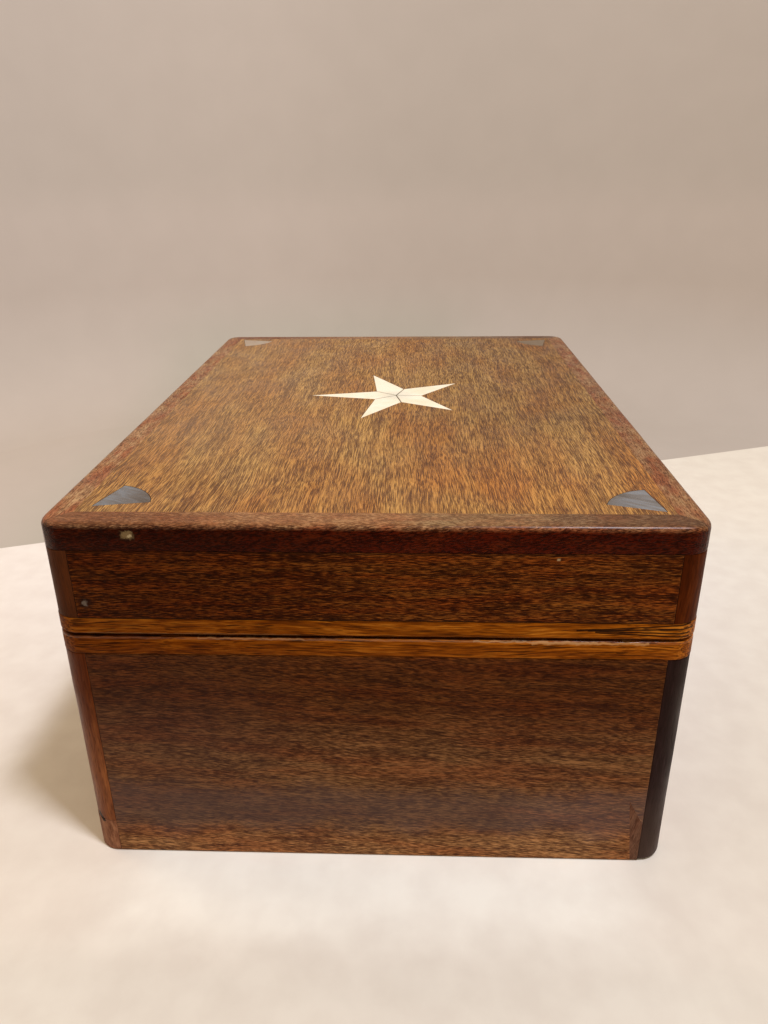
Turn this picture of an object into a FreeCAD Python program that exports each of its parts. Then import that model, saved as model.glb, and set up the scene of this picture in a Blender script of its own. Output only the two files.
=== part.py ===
import FreeCAD, Part
import math
import os

# Inlaid wooden box with a hinged lid, in millimetres.
# +X runs along the box to its right end, -Y is the front, +Y the hinged back, +Z is up.
# The origin is the middle of the underside.

V = FreeCAD.Vector

# Overall size
LENGTH = 248.0
WIDTH = 180.0
HEIGHT = 115.0
BASE_HEIGHT = 80.4
RIM_GAP = 0.7

# Boards and strips
WALL = 10.0
POST = 8.0
BOTTOM_THICKNESS = 6.0
BOTTOM_REBATE = 4.0
BASE_RIM_HEIGHT = 6.0
LID_RIM_HEIGHT = 5.0
TOP_THICKNESS = 8.0
EDGING_WIDTH = 8.0

# Rounded corners and eased edges
CORNER_RADIUS = 7.2
EDGING_ROUND = 2.0
RIM_ROUND = 0.6
EASE = 0.3
INLAY_EASE = 0.15

# Old repairs and wear on the left end
FOOT_PATCH_HEIGHT = 12.0
WEDGE_HEIGHT = 24.0
WEDGE_SHOULDER = 14.5
WEDGE_WIDTH = 5.0
WEDGE_FOOT = 2.4
WEDGE_DEPTH = 3.0
WORN_LENGTH = 5.0
WORN_HEIGHT = 2.0

# Star inlay: one arm points to the back, and the arms differ a little, as they were cut by hand
STAR_X = 3.0
STAR_Y = -4.0
STAR_NOTCH_RADIUS = 10.2
STAR_ARM_LENGTHS = (34.8, 35.6, 31.6, 30.9, 34.4)
STAR_ARM_ANGLES = (90.0, 18.0, -52.5, -134.0, 158.3)

# Fan inlays, one in each corner of the panel, pointing at the corner
FAN_RADIUS = 16.2
FAN_ANGLE = 64.0

# Each fan was laid by hand: how far its point is from the panel's end and side, and its turn in degrees
FAN_FROM_PANEL_END = {"front_left": 1.9, "front_right": 3.4, "back_left": 4.1, "back_right": 2.0}
FAN_FROM_PANEL_SIDE = {"front_left": 2.4, "front_right": 1.9, "back_left": 3.7, "back_right": 2.0}
FAN_TURN = {"front_left": -5.0, "front_right": 0.0, "back_left": -2.4, "back_right": 0.0}

# Inlay thickness and the glue line around each inlay
INLAY_THICKNESS = 1.6
GLUE_LINE = 0.12

# Butt hinges
HINGE_LENGTH = 38.0
HINGE_FROM_END = 36.0
LEAF_WIDTH = 8.5
LEAF_THICKNESS = 1.2
KNUCKLE_RADIUS = 2.5
KNUCKLE_COUNT = 5
KNUCKLE_SIDE_GAP = 0.2
KNUCKLE_CLEARANCE = 0.3
PIN_RADIUS = 1.2
PIN_RUNNING_CLEARANCE = 0.05
PIN_SET_IN = 0.22
MORTISE_CLEARANCE = 0.1

# Countersunk wood screws
SCREW_LENGTH = 7.5
SCREW_SHANK_RADIUS = 1.0
SCREW_HEAD_RADIUS = 2.1
SCREW_POINT_LENGTH = 2.5
SCREW_POINT_RADIUS = 0.2
SCREW_SPACING = 22.0
SCREW_SLOT_WIDTH = 0.6
SCREW_SLOT_DEPTH = 0.5
SCREW_CLEARANCE = 0.05

# Heights, half sizes and the corner's round, limited by its wood, that follow from the sizes above
HALF_LENGTH = LENGTH / 2
HALF_WIDTH = WIDTH / 2
OUTER_RADIUS = min(CORNER_RADIUS, POST - 2 * EASE, EDGING_WIDTH - 2 * EASE)
BASE_WALL_TOP = BASE_HEIGHT - BASE_RIM_HEIGHT
LID_BOTTOM = BASE_HEIGHT + RIM_GAP
LID_WALL_BOTTOM = LID_BOTTOM + LID_RIM_HEIGHT
LID_WALL_TOP = HEIGHT - TOP_THICKNESS
PIN_Y = HALF_WIDTH - PIN_SET_IN
PIN_Z = BASE_HEIGHT + RIM_GAP / 2
HINGE_CENTRE = HALF_LENGTH - HINGE_FROM_END - HINGE_LENGTH / 2

SIDES = {"left": -1, "right": 1}
ROWS = {"front": -1, "back": 1}
TOUCH = 1e-4
SMOOTH_ANGLE = math.radians(5)
BEYOND = 5.0


def block(x, y, z):
    """A box between pairs of limits, in either order."""
    corner = V(min(x), min(y), min(z))
    return Part.makeBox(abs(x[1] - x[0]), abs(y[1] - y[0]), abs(z[1] - z[0]), corner)


def prism(points, direction):
    """A solid drawn from a closed outline of straight sides and pushed along a direction."""
    return Part.Face(Part.makePolygon(points + points[:1])).extrude(direction)


def cut(shape, *tools):
    """The shape with every tool taken away, as plain solids."""
    return Part.makeCompound(shape.cut(list(tools)).Solids)


def middle(edge):
    return edge.valueAt((edge.FirstParameter + edge.LastParameter) / 2)


def outline_distance(point):
    """How far a point lies outside the box's outline seen from above; negative inside."""
    out_x = abs(point.x) - (HALF_LENGTH - OUTER_RADIUS)
    out_y = abs(point.y) - (HALF_WIDTH - OUTER_RADIUS)
    outside = math.hypot(max(out_x, 0), max(out_y, 0))
    return outside + min(max(out_x, out_y), 0) - OUTER_RADIUS


def on_sides(point):
    return abs(outline_distance(point)) < TOUCH


def on_top(point):
    return abs(point.z - HEIGHT) < TOUCH


def at_height(z):
    return lambda point: on_sides(point) and abs(point.z - z) < TOUCH


def is_sharp(shape, edge):
    """True where the two faces beside an edge meet at an angle."""
    normals = []
    for face in shape.ancestorsOfType(edge, Part.Face):
        normals.append(face.normalAt(*face.Surface.parameter(middle(edge))))
    return len(normals) == 2 and normals[0].getAngle(normals[1]) > SMOOTH_ANGLE


def round_edges(shape, radius, wanted):
    """Rounds the sharp edges whose middle point is wanted."""
    chosen = [edge for edge in shape.Edges if wanted(middle(edge)) and is_sharp(shape, edge)]
    return shape.makeFillet(radius, chosen)


def round_corners(shape):
    """Rounds the upright edges that stand on the box's four corners."""
    def at_corner(point):
        beside_end = abs(abs(point.x) - HALF_LENGTH) < TOUCH
        return beside_end and abs(abs(point.y) - HALF_WIDTH) < TOUCH
    return round_edges(shape, OUTER_RADIUS, at_corner)


def ease(shape):
    """Takes the sharpness off every edge that shows on the outside."""
    return round_edges(shape, EASE, lambda point: on_sides(point) or on_top(point))


# Carcass boards

def corner_block(side, row, z):
    """The square space that a corner post fills."""
    x = (side * (HALF_LENGTH - POST), side * HALF_LENGTH)
    y = (row * (HALF_WIDTH - POST), row * HALF_WIDTH)
    return block(x, y, z)


def long_board(row, z):
    """A front or back wall, which runs between the corner posts."""
    x = (POST - HALF_LENGTH, HALF_LENGTH - POST)
    return block(x, (row * (HALF_WIDTH - WALL), row * HALF_WIDTH), z)


def end_board(side, z):
    """An end wall, rebated over the long walls and let in between the posts."""
    x = (side * (HALF_LENGTH - WALL), side * HALF_LENGTH)
    board = block(x, (-HALF_WIDTH, HALF_WIDTH), z)
    neighbours = [corner_block(side, row, z) for row in ROWS.values()]
    neighbours += [long_board(row, z) for row in ROWS.values()]
    return cut(board, *neighbours)


def post(side, row, z):
    return ease(round_corners(corner_block(side, row, z)))


def bottom_space():
    """The space of the bottom board, which sits in a rebate round the foot of the walls."""
    half_x = HALF_LENGTH - WALL + BOTTOM_REBATE
    half_y = HALF_WIDTH - WALL + BOTTOM_REBATE
    return block((-half_x, half_x), (-half_y, half_y), (0, BOTTOM_THICKNESS))


def bottom_board():
    corners = [corner_block(s, r, (0, BOTTOM_THICKNESS)) for s in SIDES.values() for r in ROWS.values()]
    return cut(bottom_space(), *corners)


# Rim strips and top edging

def rim_finish(strip, name, mouth_z):
    """The mouth edge is rounded, but the back one stays square, because the lid stops on it."""
    if name == "back":
        return round_edges(strip, EASE, lambda p: on_sides(p) and abs(p.z - mouth_z) > EASE)
    return ease(round_edges(strip, RIM_ROUND, at_height(mouth_z)))


def rim_strips(z, mouth_z):
    """Four strips at the mouth: the end ones run right across and the long ones fit between."""
    made = {}
    inner_x = HALF_LENGTH - WALL
    for name, side in SIDES.items():
        strip = block((side * inner_x, side * HALF_LENGTH), (-HALF_WIDTH, HALF_WIDTH), z)
        made[name] = rim_finish(round_corners(strip), name, mouth_z)
    for name, row in ROWS.items():
        y = (row * (HALF_WIDTH - WALL), row * HALF_WIDTH)
        made[name] = rim_finish(block((-inner_x, inner_x), y, z), name, mouth_z)
    return made


def edging_frame():
    """The edging in one piece, before it is sawn apart: its top outer edge has a full round."""
    z = (LID_WALL_TOP, HEIGHT)
    whole = round_corners(block((-HALF_LENGTH, HALF_LENGTH), (-HALF_WIDTH, HALF_WIDTH), z))
    rounded = round_edges(whole, EDGING_ROUND, lambda point: on_sides(point) and on_top(point))
    return ease(cut(rounded, panel_space()))


def mitre_space(corners):
    """The space of one strip of the edging, between the mitres at two corners of the box."""
    depth = EDGING_WIDTH + BEYOND
    outer = [V(s * (HALF_LENGTH + BEYOND), r * (HALF_WIDTH + BEYOND), LID_WALL_TOP) for s, r in corners]
    inner = [V(s * (HALF_LENGTH - depth), r * (HALF_WIDTH - depth), LID_WALL_TOP) for s, r in corners]
    return prism(outer + inner[::-1], V(0, 0, TOP_THICKNESS))


def edging_strips():
    """Four strips round the panel, mitred at the corners."""
    frame = edging_frame()
    spaces = {name: mitre_space([(side, -1), (side, 1)]) for name, side in SIDES.items()}
    spaces.update({name: mitre_space([(-1, row), (1, row)]) for name, row in ROWS.items()})
    return {name: Part.makeCompound(frame.common(space).Solids) for name, space in spaces.items()}


def worn_corner():
    """What is rubbed away from the lid's left rim at its back lower corner."""
    face_y = HALF_WIDTH
    start = V(-HALF_LENGTH - BEYOND, face_y, LID_BOTTOM + WORN_HEIGHT)
    bend = V(start.x, face_y - WORN_LENGTH / 4, LID_BOTTOM + WORN_HEIGHT / 4)
    end = V(start.x, face_y - WORN_LENGTH, LID_BOTTOM)
    below = V(start.x, end.y, LID_BOTTOM - BEYOND)
    outside = V(start.x, face_y + BEYOND, LID_BOTTOM - BEYOND)
    above = V(start.x, outside.y, start.z)
    curve = Part.Arc(start, bend, end).toShape()
    sides = Part.makePolygon([end, below, outside, above, start])
    face = Part.Face(Part.Wire([curve] + sides.Edges))
    return face.extrude(V(WALL + BEYOND, 0, 0))


# Repairs at the foot of the left end

def foot_patch_space():
    return corner_block(SIDES["left"], ROWS["back"], (0, FOOT_PATCH_HEIGHT))


def wedge_space():
    """The place of a sliver let into the left end wall beside the front post."""
    edge_y = POST - HALF_WIDTH
    outline = [
        V(-HALF_LENGTH, edge_y, 0),
        V(-HALF_LENGTH, edge_y, WEDGE_SHOULDER),
        V(-HALF_LENGTH, edge_y + WEDGE_WIDTH, WEDGE_HEIGHT),
        V(-HALF_LENGTH, edge_y + WEDGE_FOOT, 0),
    ]
    return prism(outline, V(WEDGE_DEPTH, 0, 0))


def split_off(parts, whole, piece, space):
    """Saws the piece that fills a space off a whole part."""
    parts[piece] = Part.makeCompound(parts[whole].common(space).Solids)
    parts[whole] = cut(parts[whole], space)


# Lid panel and its inlays

def polar(centre, radius, degrees):
    angle = math.radians(degrees)
    return V(centre.x + radius * math.cos(angle), centre.y + radius * math.sin(angle), centre.z)


def angle_between(first, second):
    """The direction halfway round from the first arm to the second, going clockwise."""
    return first - ((first - second) % 360) / 2


def star_kites():
    """The outline of each star arm: the centre, a notch, the tip and the next notch."""
    centre = V(STAR_X, STAR_Y, HEIGHT - INLAY_THICKNESS)
    count = len(STAR_ARM_ANGLES)
    notches = []
    for arm in range(count):
        following = STAR_ARM_ANGLES[(arm + 1) % count]
        notches.append(polar(centre, STAR_NOTCH_RADIUS, angle_between(STAR_ARM_ANGLES[arm], following)))
    kites = []
    for arm in range(count):
        tip = polar(centre, STAR_ARM_LENGTHS[arm], STAR_ARM_ANGLES[arm])
        points = [centre, notches[arm], tip, notches[arm - 1]]
        kites.append(Part.makePolygon(points + points[:1]))
    return kites


def fan_outline(corner):
    """A pie slice whose point is towards a corner of the panel."""
    row_name, side_name = corner.split("_")
    row, side = ROWS[row_name], SIDES[side_name]
    x = HALF_LENGTH - EDGING_WIDTH - FAN_FROM_PANEL_END[corner]
    y = HALF_WIDTH - EDGING_WIDTH - FAN_FROM_PANEL_SIDE[corner]
    point = V(side * x, row * y, HEIGHT - INLAY_THICKNESS)
    facing = math.degrees(math.atan2(-row, -side)) + FAN_TURN[corner]
    first = polar(point, FAN_RADIUS, facing - FAN_ANGLE / 2)
    crown = polar(point, FAN_RADIUS, facing)
    last = polar(point, FAN_RADIUS, facing + FAN_ANGLE / 2)
    sides = Part.makePolygon([last, point, first])
    return Part.Wire(sides.Edges + [Part.Arc(first, crown, last).toShape()])


def inlay_piece(outline):
    """An inlay, smaller than its pocket by the glue line, with its upper edge eased."""
    inner = outline.makeOffset2D(-GLUE_LINE)
    piece = Part.Face(inner).extrude(V(0, 0, INLAY_THICKNESS))
    return round_edges(piece, INLAY_EASE, on_top)


def inlay_pocket(outline):
    return Part.Face(outline).extrude(V(0, 0, INLAY_THICKNESS + BEYOND))


def panel_space():
    half_x = HALF_LENGTH - EDGING_WIDTH
    half_y = HALF_WIDTH - EDGING_WIDTH
    return block((-half_x, half_x), (-half_y, half_y), (LID_WALL_TOP, HEIGHT))


def top_panel(outlines):
    return cut(ease(panel_space()), *[inlay_pocket(outline) for outline in outlines])


# Hinges: each has a leaf let into the base rim, a leaf let into the lid rim and a pin

def hinge_x(side):
    return side * HINGE_CENTRE


def along_pin(radius, start, length):
    return Part.makeCylinder(radius, length, V(start, PIN_Y, PIN_Z), V(1, 0, 0))


def knuckle_span(side, index):
    """Start and length of a knuckle's share of the hinge."""
    pitch = HINGE_LENGTH / KNUCKLE_COUNT
    return hinge_x(side) - HINGE_LENGTH / 2 + index * pitch, pitch


def leaf_z(up):
    """Lower and upper face of a leaf; up is 1 for the lid's and -1 for the base's."""
    near = PIN_Z + up * RIM_GAP / 2
    return (near, near + up * LEAF_THICKNESS)


def screw_places(side):
    y = PIN_Y - (KNUCKLE_RADIUS + LEAF_WIDTH) / 2
    return [V(hinge_x(side) + step * SCREW_SPACING / 2, y, 0) for step in (-1, 1)]


def screw_body(place, up, extra=0.0):
    """A countersunk screw from its head's face inwards, thicker by extra where it cuts a hole."""
    face, leaf_back = leaf_z(up)
    head = V(place.x, place.y, face)
    neck = V(place.x, place.y, leaf_back)
    point = V(place.x, place.y, face + up * (SCREW_LENGTH - SCREW_POINT_LENGTH))
    inwards = V(0, 0, up)
    shank_length = SCREW_LENGTH - SCREW_POINT_LENGTH - LEAF_THICKNESS
    shank = SCREW_SHANK_RADIUS + extra
    cone = Part.makeCone(SCREW_HEAD_RADIUS + extra, shank, LEAF_THICKNESS, head, inwards)
    stem = Part.makeCylinder(shank, shank_length, neck, inwards)
    tip = Part.makeCone(shank, SCREW_POINT_RADIUS + extra, SCREW_POINT_LENGTH + extra, point, inwards)
    return cone.fuse([stem, tip]).removeSplitter()


def screw(place, up):
    half_slot = SCREW_SLOT_WIDTH / 2
    face = leaf_z(up)[0]
    x = (place.x - half_slot, place.x + half_slot)
    y = (place.y - SCREW_HEAD_RADIUS - EASE, place.y + SCREW_HEAD_RADIUS + EASE)
    slot = block(x, y, (face, face + up * SCREW_SLOT_DEPTH))
    return cut(screw_body(place, up), slot)


def hinge_leaf(side, up):
    """A plate with every other knuckle, notched round the knuckles of the other leaf."""
    ends = (hinge_x(side) - HINGE_LENGTH / 2, hinge_x(side) + HINGE_LENGTH / 2)
    leaf = block(ends, (PIN_Y - LEAF_WIDTH, PIN_Y), leaf_z(up))
    own_parity = 0 if up < 0 else 1
    knuckles, notches = [], []
    for index in range(KNUCKLE_COUNT):
        start, length = knuckle_span(side, index)
        if index % 2 == own_parity:
            gap = KNUCKLE_SIDE_GAP / 2
            knuckles.append(along_pin(KNUCKLE_RADIUS, start + gap, length - 2 * gap))
        else:
            gap = KNUCKLE_SIDE_GAP / 2
            notches.append(along_pin(KNUCKLE_RADIUS + KNUCKLE_CLEARANCE, start - gap, length + 2 * gap))
    bore_radius = PIN_RADIUS + (PIN_RUNNING_CLEARANCE if up > 0 else 0)
    bore = along_pin(bore_radius, ends[0] - BEYOND, HINGE_LENGTH + 2 * BEYOND)
    holes = [screw_body(place, up, SCREW_CLEARANCE) for place in screw_places(side)]
    plate = cut(leaf, *notches)
    return cut(plate.fuse(knuckles).removeSplitter(), bore, *holes)


def hinge_pin(side):
    start = hinge_x(side) - HINGE_LENGTH / 2 + KNUCKLE_SIDE_GAP / 2
    return along_pin(PIN_RADIUS, start, HINGE_LENGTH - KNUCKLE_SIDE_GAP)


def hinge_seat(side, up):
    """What is chopped out of the wood for a leaf, for the knuckles and for the screws."""
    half = HINGE_LENGTH / 2 + MORTISE_CLEARANCE
    x = (hinge_x(side) - half, hinge_x(side) + half)
    y = (PIN_Y - LEAF_WIDTH - MORTISE_CLEARANCE, HALF_WIDTH + BEYOND)
    mortise = block(x, y, (PIN_Z, leaf_z(up)[1]))
    barrel = along_pin(KNUCKLE_RADIUS + KNUCKLE_CLEARANCE, x[0], 2 * half)
    return [mortise, barrel] + [screw_body(p, up, SCREW_CLEARANCE) for p in screw_places(side)]


def hinge_seats(up):
    return [tool for side in SIDES.values() for tool in hinge_seat(side, up)]


# Building every piece

def base_parts():
    z = (0, BASE_WALL_TOP)
    parts = {"base_bottom_board": bottom_board()}
    for row_name, row in ROWS.items():
        parts[f"base_{row_name}_wall"] = ease(cut(long_board(row, z), bottom_space()))
    for side_name, side in SIDES.items():
        parts[f"base_{side_name}_end_wall"] = ease(cut(end_board(side, z), bottom_space()))
        for row_name, row in ROWS.items():
            parts[f"base_{row_name}_{side_name}_post"] = post(side, row, z)
    split_off(parts, "base_left_end_wall", "base_left_wedge_patch", wedge_space())
    split_off(parts, "base_back_left_post", "base_back_left_foot_patch", foot_patch_space())
    for name, strip in rim_strips((BASE_WALL_TOP, BASE_HEIGHT), BASE_HEIGHT).items():
        parts[f"base_{name}_rim"] = strip
    for name in ("base_back_rim", "base_back_wall"):
        parts[name] = cut(parts[name], *hinge_seats(-1))
    return parts


def lid_parts():
    z = (LID_WALL_BOTTOM, LID_WALL_TOP)
    parts = {}
    for row_name, row in ROWS.items():
        parts[f"lid_{row_name}_wall"] = ease(long_board(row, z))
    for side_name, side in SIDES.items():
        parts[f"lid_{side_name}_end_wall"] = ease(end_board(side, z))
        for row_name, row in ROWS.items():
            parts[f"lid_{row_name}_{side_name}_post"] = post(side, row, z)
    for name, strip in rim_strips((LID_BOTTOM, LID_WALL_BOTTOM), LID_BOTTOM).items():
        parts[f"lid_{name}_rim"] = strip
    parts["lid_left_rim"] = cut(parts["lid_left_rim"], worn_corner())
    for name in ("lid_back_rim", "lid_back_wall"):
        parts[name] = cut(parts[name], *hinge_seats(1))
    for name, strip in edging_strips().items():
        parts[f"lid_{name}_edging"] = strip
    return parts


def inlay_parts():
    kites = star_kites()
    fans = {corner: fan_outline(corner) for corner in FAN_TURN}
    parts = {"lid_top_panel": top_panel(kites + list(fans.values()))}
    for number, kite in enumerate(kites, start=1):
        parts[f"star_arm_{number}"] = inlay_piece(kite)
    for corner, fan in fans.items():
        parts[f"pearl_fan_{corner}"] = inlay_piece(fan)
    return parts


def hinge_parts():
    parts = {}
    for name, side in SIDES.items():
        parts[f"{name}_hinge_base_leaf"] = hinge_leaf(side, -1)
        parts[f"{name}_hinge_lid_leaf"] = hinge_leaf(side, 1)
        parts[f"{name}_hinge_pin"] = hinge_pin(side)
    for name, up in (("base", -1), ("lid", 1)):
        solids = [screw(place, up) for side in SIDES.values() for place in screw_places(side)]
        parts[f"{name}_hinge_screws"] = Part.makeCompound(solids)
    return parts


def main():
    os.makedirs("parts", exist_ok=True)
    parts = {**base_parts(), **lid_parts(), **inlay_parts(), **hinge_parts()}
    for name, shape in parts.items():
        if not shape.isValid():
            raise ValueError(f"{name} isn't a valid solid")
        shape.exportStep(f"parts/{name}.step")
        print(f"{name}: {len(shape.Solids)} solids, {shape.Volume:.1f} mm3")
    print(f"{len(parts)} nodes")


main()
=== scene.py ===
"""Looks of an inlaid wooden box with a hinged lid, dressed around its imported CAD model."""

import logging
import math
from dataclasses import dataclass, field, replace
from enum import Enum

import bmesh
import bpy
from mathutils import Matrix, Vector, noise

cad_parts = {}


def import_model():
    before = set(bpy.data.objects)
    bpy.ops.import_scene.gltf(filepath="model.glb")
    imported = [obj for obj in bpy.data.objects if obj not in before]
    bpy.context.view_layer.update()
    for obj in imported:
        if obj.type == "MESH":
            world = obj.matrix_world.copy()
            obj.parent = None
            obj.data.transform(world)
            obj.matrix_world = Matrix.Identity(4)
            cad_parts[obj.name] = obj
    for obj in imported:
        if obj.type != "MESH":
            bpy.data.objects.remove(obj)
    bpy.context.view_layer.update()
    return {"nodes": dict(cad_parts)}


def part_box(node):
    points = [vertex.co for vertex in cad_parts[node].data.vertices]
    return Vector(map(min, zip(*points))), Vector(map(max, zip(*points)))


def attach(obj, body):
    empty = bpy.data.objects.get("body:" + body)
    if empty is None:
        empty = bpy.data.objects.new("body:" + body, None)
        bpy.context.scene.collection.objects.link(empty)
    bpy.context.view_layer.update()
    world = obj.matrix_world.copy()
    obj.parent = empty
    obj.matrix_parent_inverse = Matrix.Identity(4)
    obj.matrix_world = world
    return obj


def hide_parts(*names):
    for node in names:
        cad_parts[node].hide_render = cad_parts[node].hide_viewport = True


LOG = logging.getLogger("inlaid_box")
# A millimetre, and the distance within which two points are the same, in metres
MM = 0.001
TOUCH = 1e-6
# Number of the colour among a mix node's outputs
MIXED_COLOUR = 2
# How far a noise usually strays from its middle
NOISE_SWING = 0.25

Tree = bpy.types.NodeTree
Socket = bpy.types.NodeSocket
Feed = Socket | float | tuple[float, ...] | list[float]
Pair = tuple[float, float]
Triple = tuple[float, float, float]
Colour = tuple[float, float, float, float]
Nodes = dict[str, bpy.types.Object]

# A tint that reaches this far has no border on that side, mm
FAR = 1000.0


def linear(code: str) -> Colour:
    """Turns an sRGB hex colour into linear values.

    Args:
        code: Six hex digits, such as "8a5a34".

    Returns:
        Linear red, green and blue, and an alpha of 1.
    """
    parts = [int(code[i:i + 2], 16) / 255 for i in (0, 2, 4)]
    values = [p / 12.92 if p <= 0.04045 else ((p + 0.055) / 1.055) ** 2.4 for p in parts]
    return (*values, 1.0)


def add(
    tree: Tree,
    kind: str,
    feeds: dict[str, Feed] | None = None,
    ramp: tuple[tuple[float, str], ...] = (),
    **settings: object,
) -> bpy.types.Node:
    """Adds a node with its settings, and sets or links its inputs.

    Args:
        tree: The material's node tree.
        kind: The node's type name.
        feeds: For each input's name or identifier, a socket to link or a value to set.
        ramp: Places and hex colours of a colour ramp, lowest first.
        **settings: The node's own properties.

    Returns:
        The new node.
    """
    node = tree.nodes.new(kind)
    for name, value in settings.items():
        setattr(node, name, value)
    if ramp:
        stops = node.color_ramp.elements
        stops[0].position, stops[1].position = ramp[0][0], ramp[-1][0]
        stops[0].color, stops[1].color = linear(ramp[0][1]), linear(ramp[-1][1])
        for place, code in ramp[1:-1]:
            stops.new(place).color = linear(code)
    for key, value in (feeds or {}).items():
        socket = next(s for s in node.inputs if key in (s.identifier, s.name))
        if isinstance(value, Socket):
            tree.links.new(value, socket)
        else:
            socket.default_value = value
    return node


class Grain(Enum):
    """The axis that a piece's fibres run along."""

    ALONG_X = 0
    ALONG_Y = 1
    UPRIGHT = 2


class Blend(Enum):
    """How a tint is laid over the colour below it."""

    COVER = "MIX"
    STAIN = "MULTIPLY"
    BLEACH = "DIVIDE"


@dataclass(frozen=True)
class Tint:
    """A patch of colour on part of a finish, such as a rubbed edge, a stain or a filled hole.

    Attributes:
        low: Lowest corner of its place in the box's frame, mm.
        high: Highest corner of its place, mm.
        code: Hex colour.
        strength: How much of the colour shows in the middle, 0 to 1.
        soft: Width over which it fades out, mm.
        soft_z: Width over which its lower and upper border fade out, mm; 0 for the same as the others.
        ragged: How far its border wanders, mm.
        grit: Size of the border's wandering, mm.
        blend: How it is laid over the colour below.
        turn: How far it is turned around its middle, as turns about X, Y and Z in degrees.
    """

    low: Triple
    high: Triple
    code: str
    strength: float = 1.0
    soft: float = 0.5
    soft_z: float = 0.0
    ragged: float = 0.5
    grit: float = 2.0
    blend: Blend = Blend.COVER
    turn: Triple = (0.0, 0.0, 0.0)

    def mask(self, tree: Tree, place: Socket) -> Socket:
        """Builds the patch's mask.

        Args:
            tree: The material's node tree.
            place: The surface point, in metres.

        Returns:
            A socket that is the strength inside the patch and 0 outside it.
        """
        stir = add(tree, "ShaderNodeTexNoise", {
            "Vector": place, "Scale": 1 / (self.grit * MM), "Detail": 3.0,
        })
        push = add(tree, "ShaderNodeVectorMath", {
            "Vector": stir.outputs["Color"],
            "Vector_001": (-0.5, -0.5, -0.5),
        }, operation="ADD")
        amount = self.ragged * MM / NOISE_SWING
        moved = add(tree, "ShaderNodeVectorMath", {
            "Vector": push.outputs["Vector"],
            "Vector_001": (amount, amount, amount),
            "Vector_002": place,
        }, operation="MULTIPLY_ADD")
        middle = [(low + high) / 2 for low, high in zip(self.low, self.high)]
        turned = add(tree, "ShaderNodeMapping", {
            "Vector": moved.outputs["Vector"],
            "Location": [value * MM for value in middle],
            "Rotation": [math.radians(angle) for angle in self.turn],
        }, vector_type="TEXTURE")
        axes = add(tree, "ShaderNodeSeparateXYZ", {"Vector": turned.outputs["Vector"]})
        total: Socket | None = None
        for axis, fade in enumerate((self.soft, self.soft, self.soft_z or self.soft)):
            half = fade * MM / 2
            for limit, side in ((self.low[axis], 1), (self.high[axis], -1)):
                if abs(limit) >= FAR:
                    continue
                edge = (limit - middle[axis]) * MM
                step = add(tree, "ShaderNodeMapRange", {
                    "Value": axes.outputs[axis],
                    "From Min": edge - side * half,
                    "From Max": edge + side * half,
                    "To Max": self.strength if total is None else 1.0,
                }, interpolation_type="SMOOTHSTEP").outputs["Result"]
                if total is None:
                    total = step
                    continue
                total = add(tree, "ShaderNodeMath", {
                    "Value": total, "Value_001": step,
                }, operation="MULTIPLY").outputs[0]
        return total

    def lay(self, tree: Tree, place: Socket, below: Socket) -> Socket:
        """Lays the tint over a colour and returns the new colour's socket."""
        return add(tree, "ShaderNodeMix", {
            "Factor_Float": self.mask(tree, place),
            "A_Color": below,
            "B_Color": linear(self.code),
        }, data_type="RGBA", blend_type=self.blend.value).outputs[MIXED_COLOUR]


@dataclass(frozen=True)
class Finish:
    """What a surface is made of and how it was made.

    Attributes:
        name: The material's name.
        tints: Stains, rubbed places and fillings, laid on in order.
    """

    name: str
    tints: tuple[Tint, ...] = field(default=(), kw_only=True)

    def material(self) -> bpy.types.Material:
        """Builds the material, or finds it if it exists.

        Returns:
            The material.
        """
        known = bpy.data.materials.get(self.name)
        if known:
            return known
        material = bpy.data.materials.new(self.name)
        material.use_nodes = True
        tree = material.node_tree
        tree.nodes.clear()
        place = add(tree, "ShaderNodeTexCoord").outputs["Object"]
        add(tree, "ShaderNodeOutputMaterial", {"Surface": self.shade(tree, place)})
        return material

    def shade(self, tree: Tree, place: Socket) -> Socket:
        """Builds the surface, which each finish does in its own way.

        Args:
            tree: The material's node tree.
            place: The surface point, in metres.

        Returns:
            The shader's socket.
        """
        raise NotImplementedError

    def tinted(self, tree: Tree, place: Socket, colour: Socket) -> Socket:
        """Lays the tints on.

        Args:
            tree: The material's node tree.
            place: The surface point, in metres.
            colour: The colour below them.

        Returns:
            The socket of the colour with its tints.
        """
        for tint in self.tints:
            colour = tint.lay(tree, place, colour)
        return colour


# Lengths over which the fibres wander and the gloss of the polish changes, mm
WANDER = 40.0
SMUDGE = 14.0
# How far smudges change the roughness, and how much rougher the pores are
SMUDGE_ROUGHNESS = 0.1
PORE_ROUGHNESS = 0.2
# Span of noise levels over which a pore's edge falls off
PORE_EDGE = 0.12
# Where the pores and the blush are taken from the noise, mm, so that the layers differ
PORE_SHIFT = 100.0
BLUSH_SHIFT = 300.0


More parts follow.
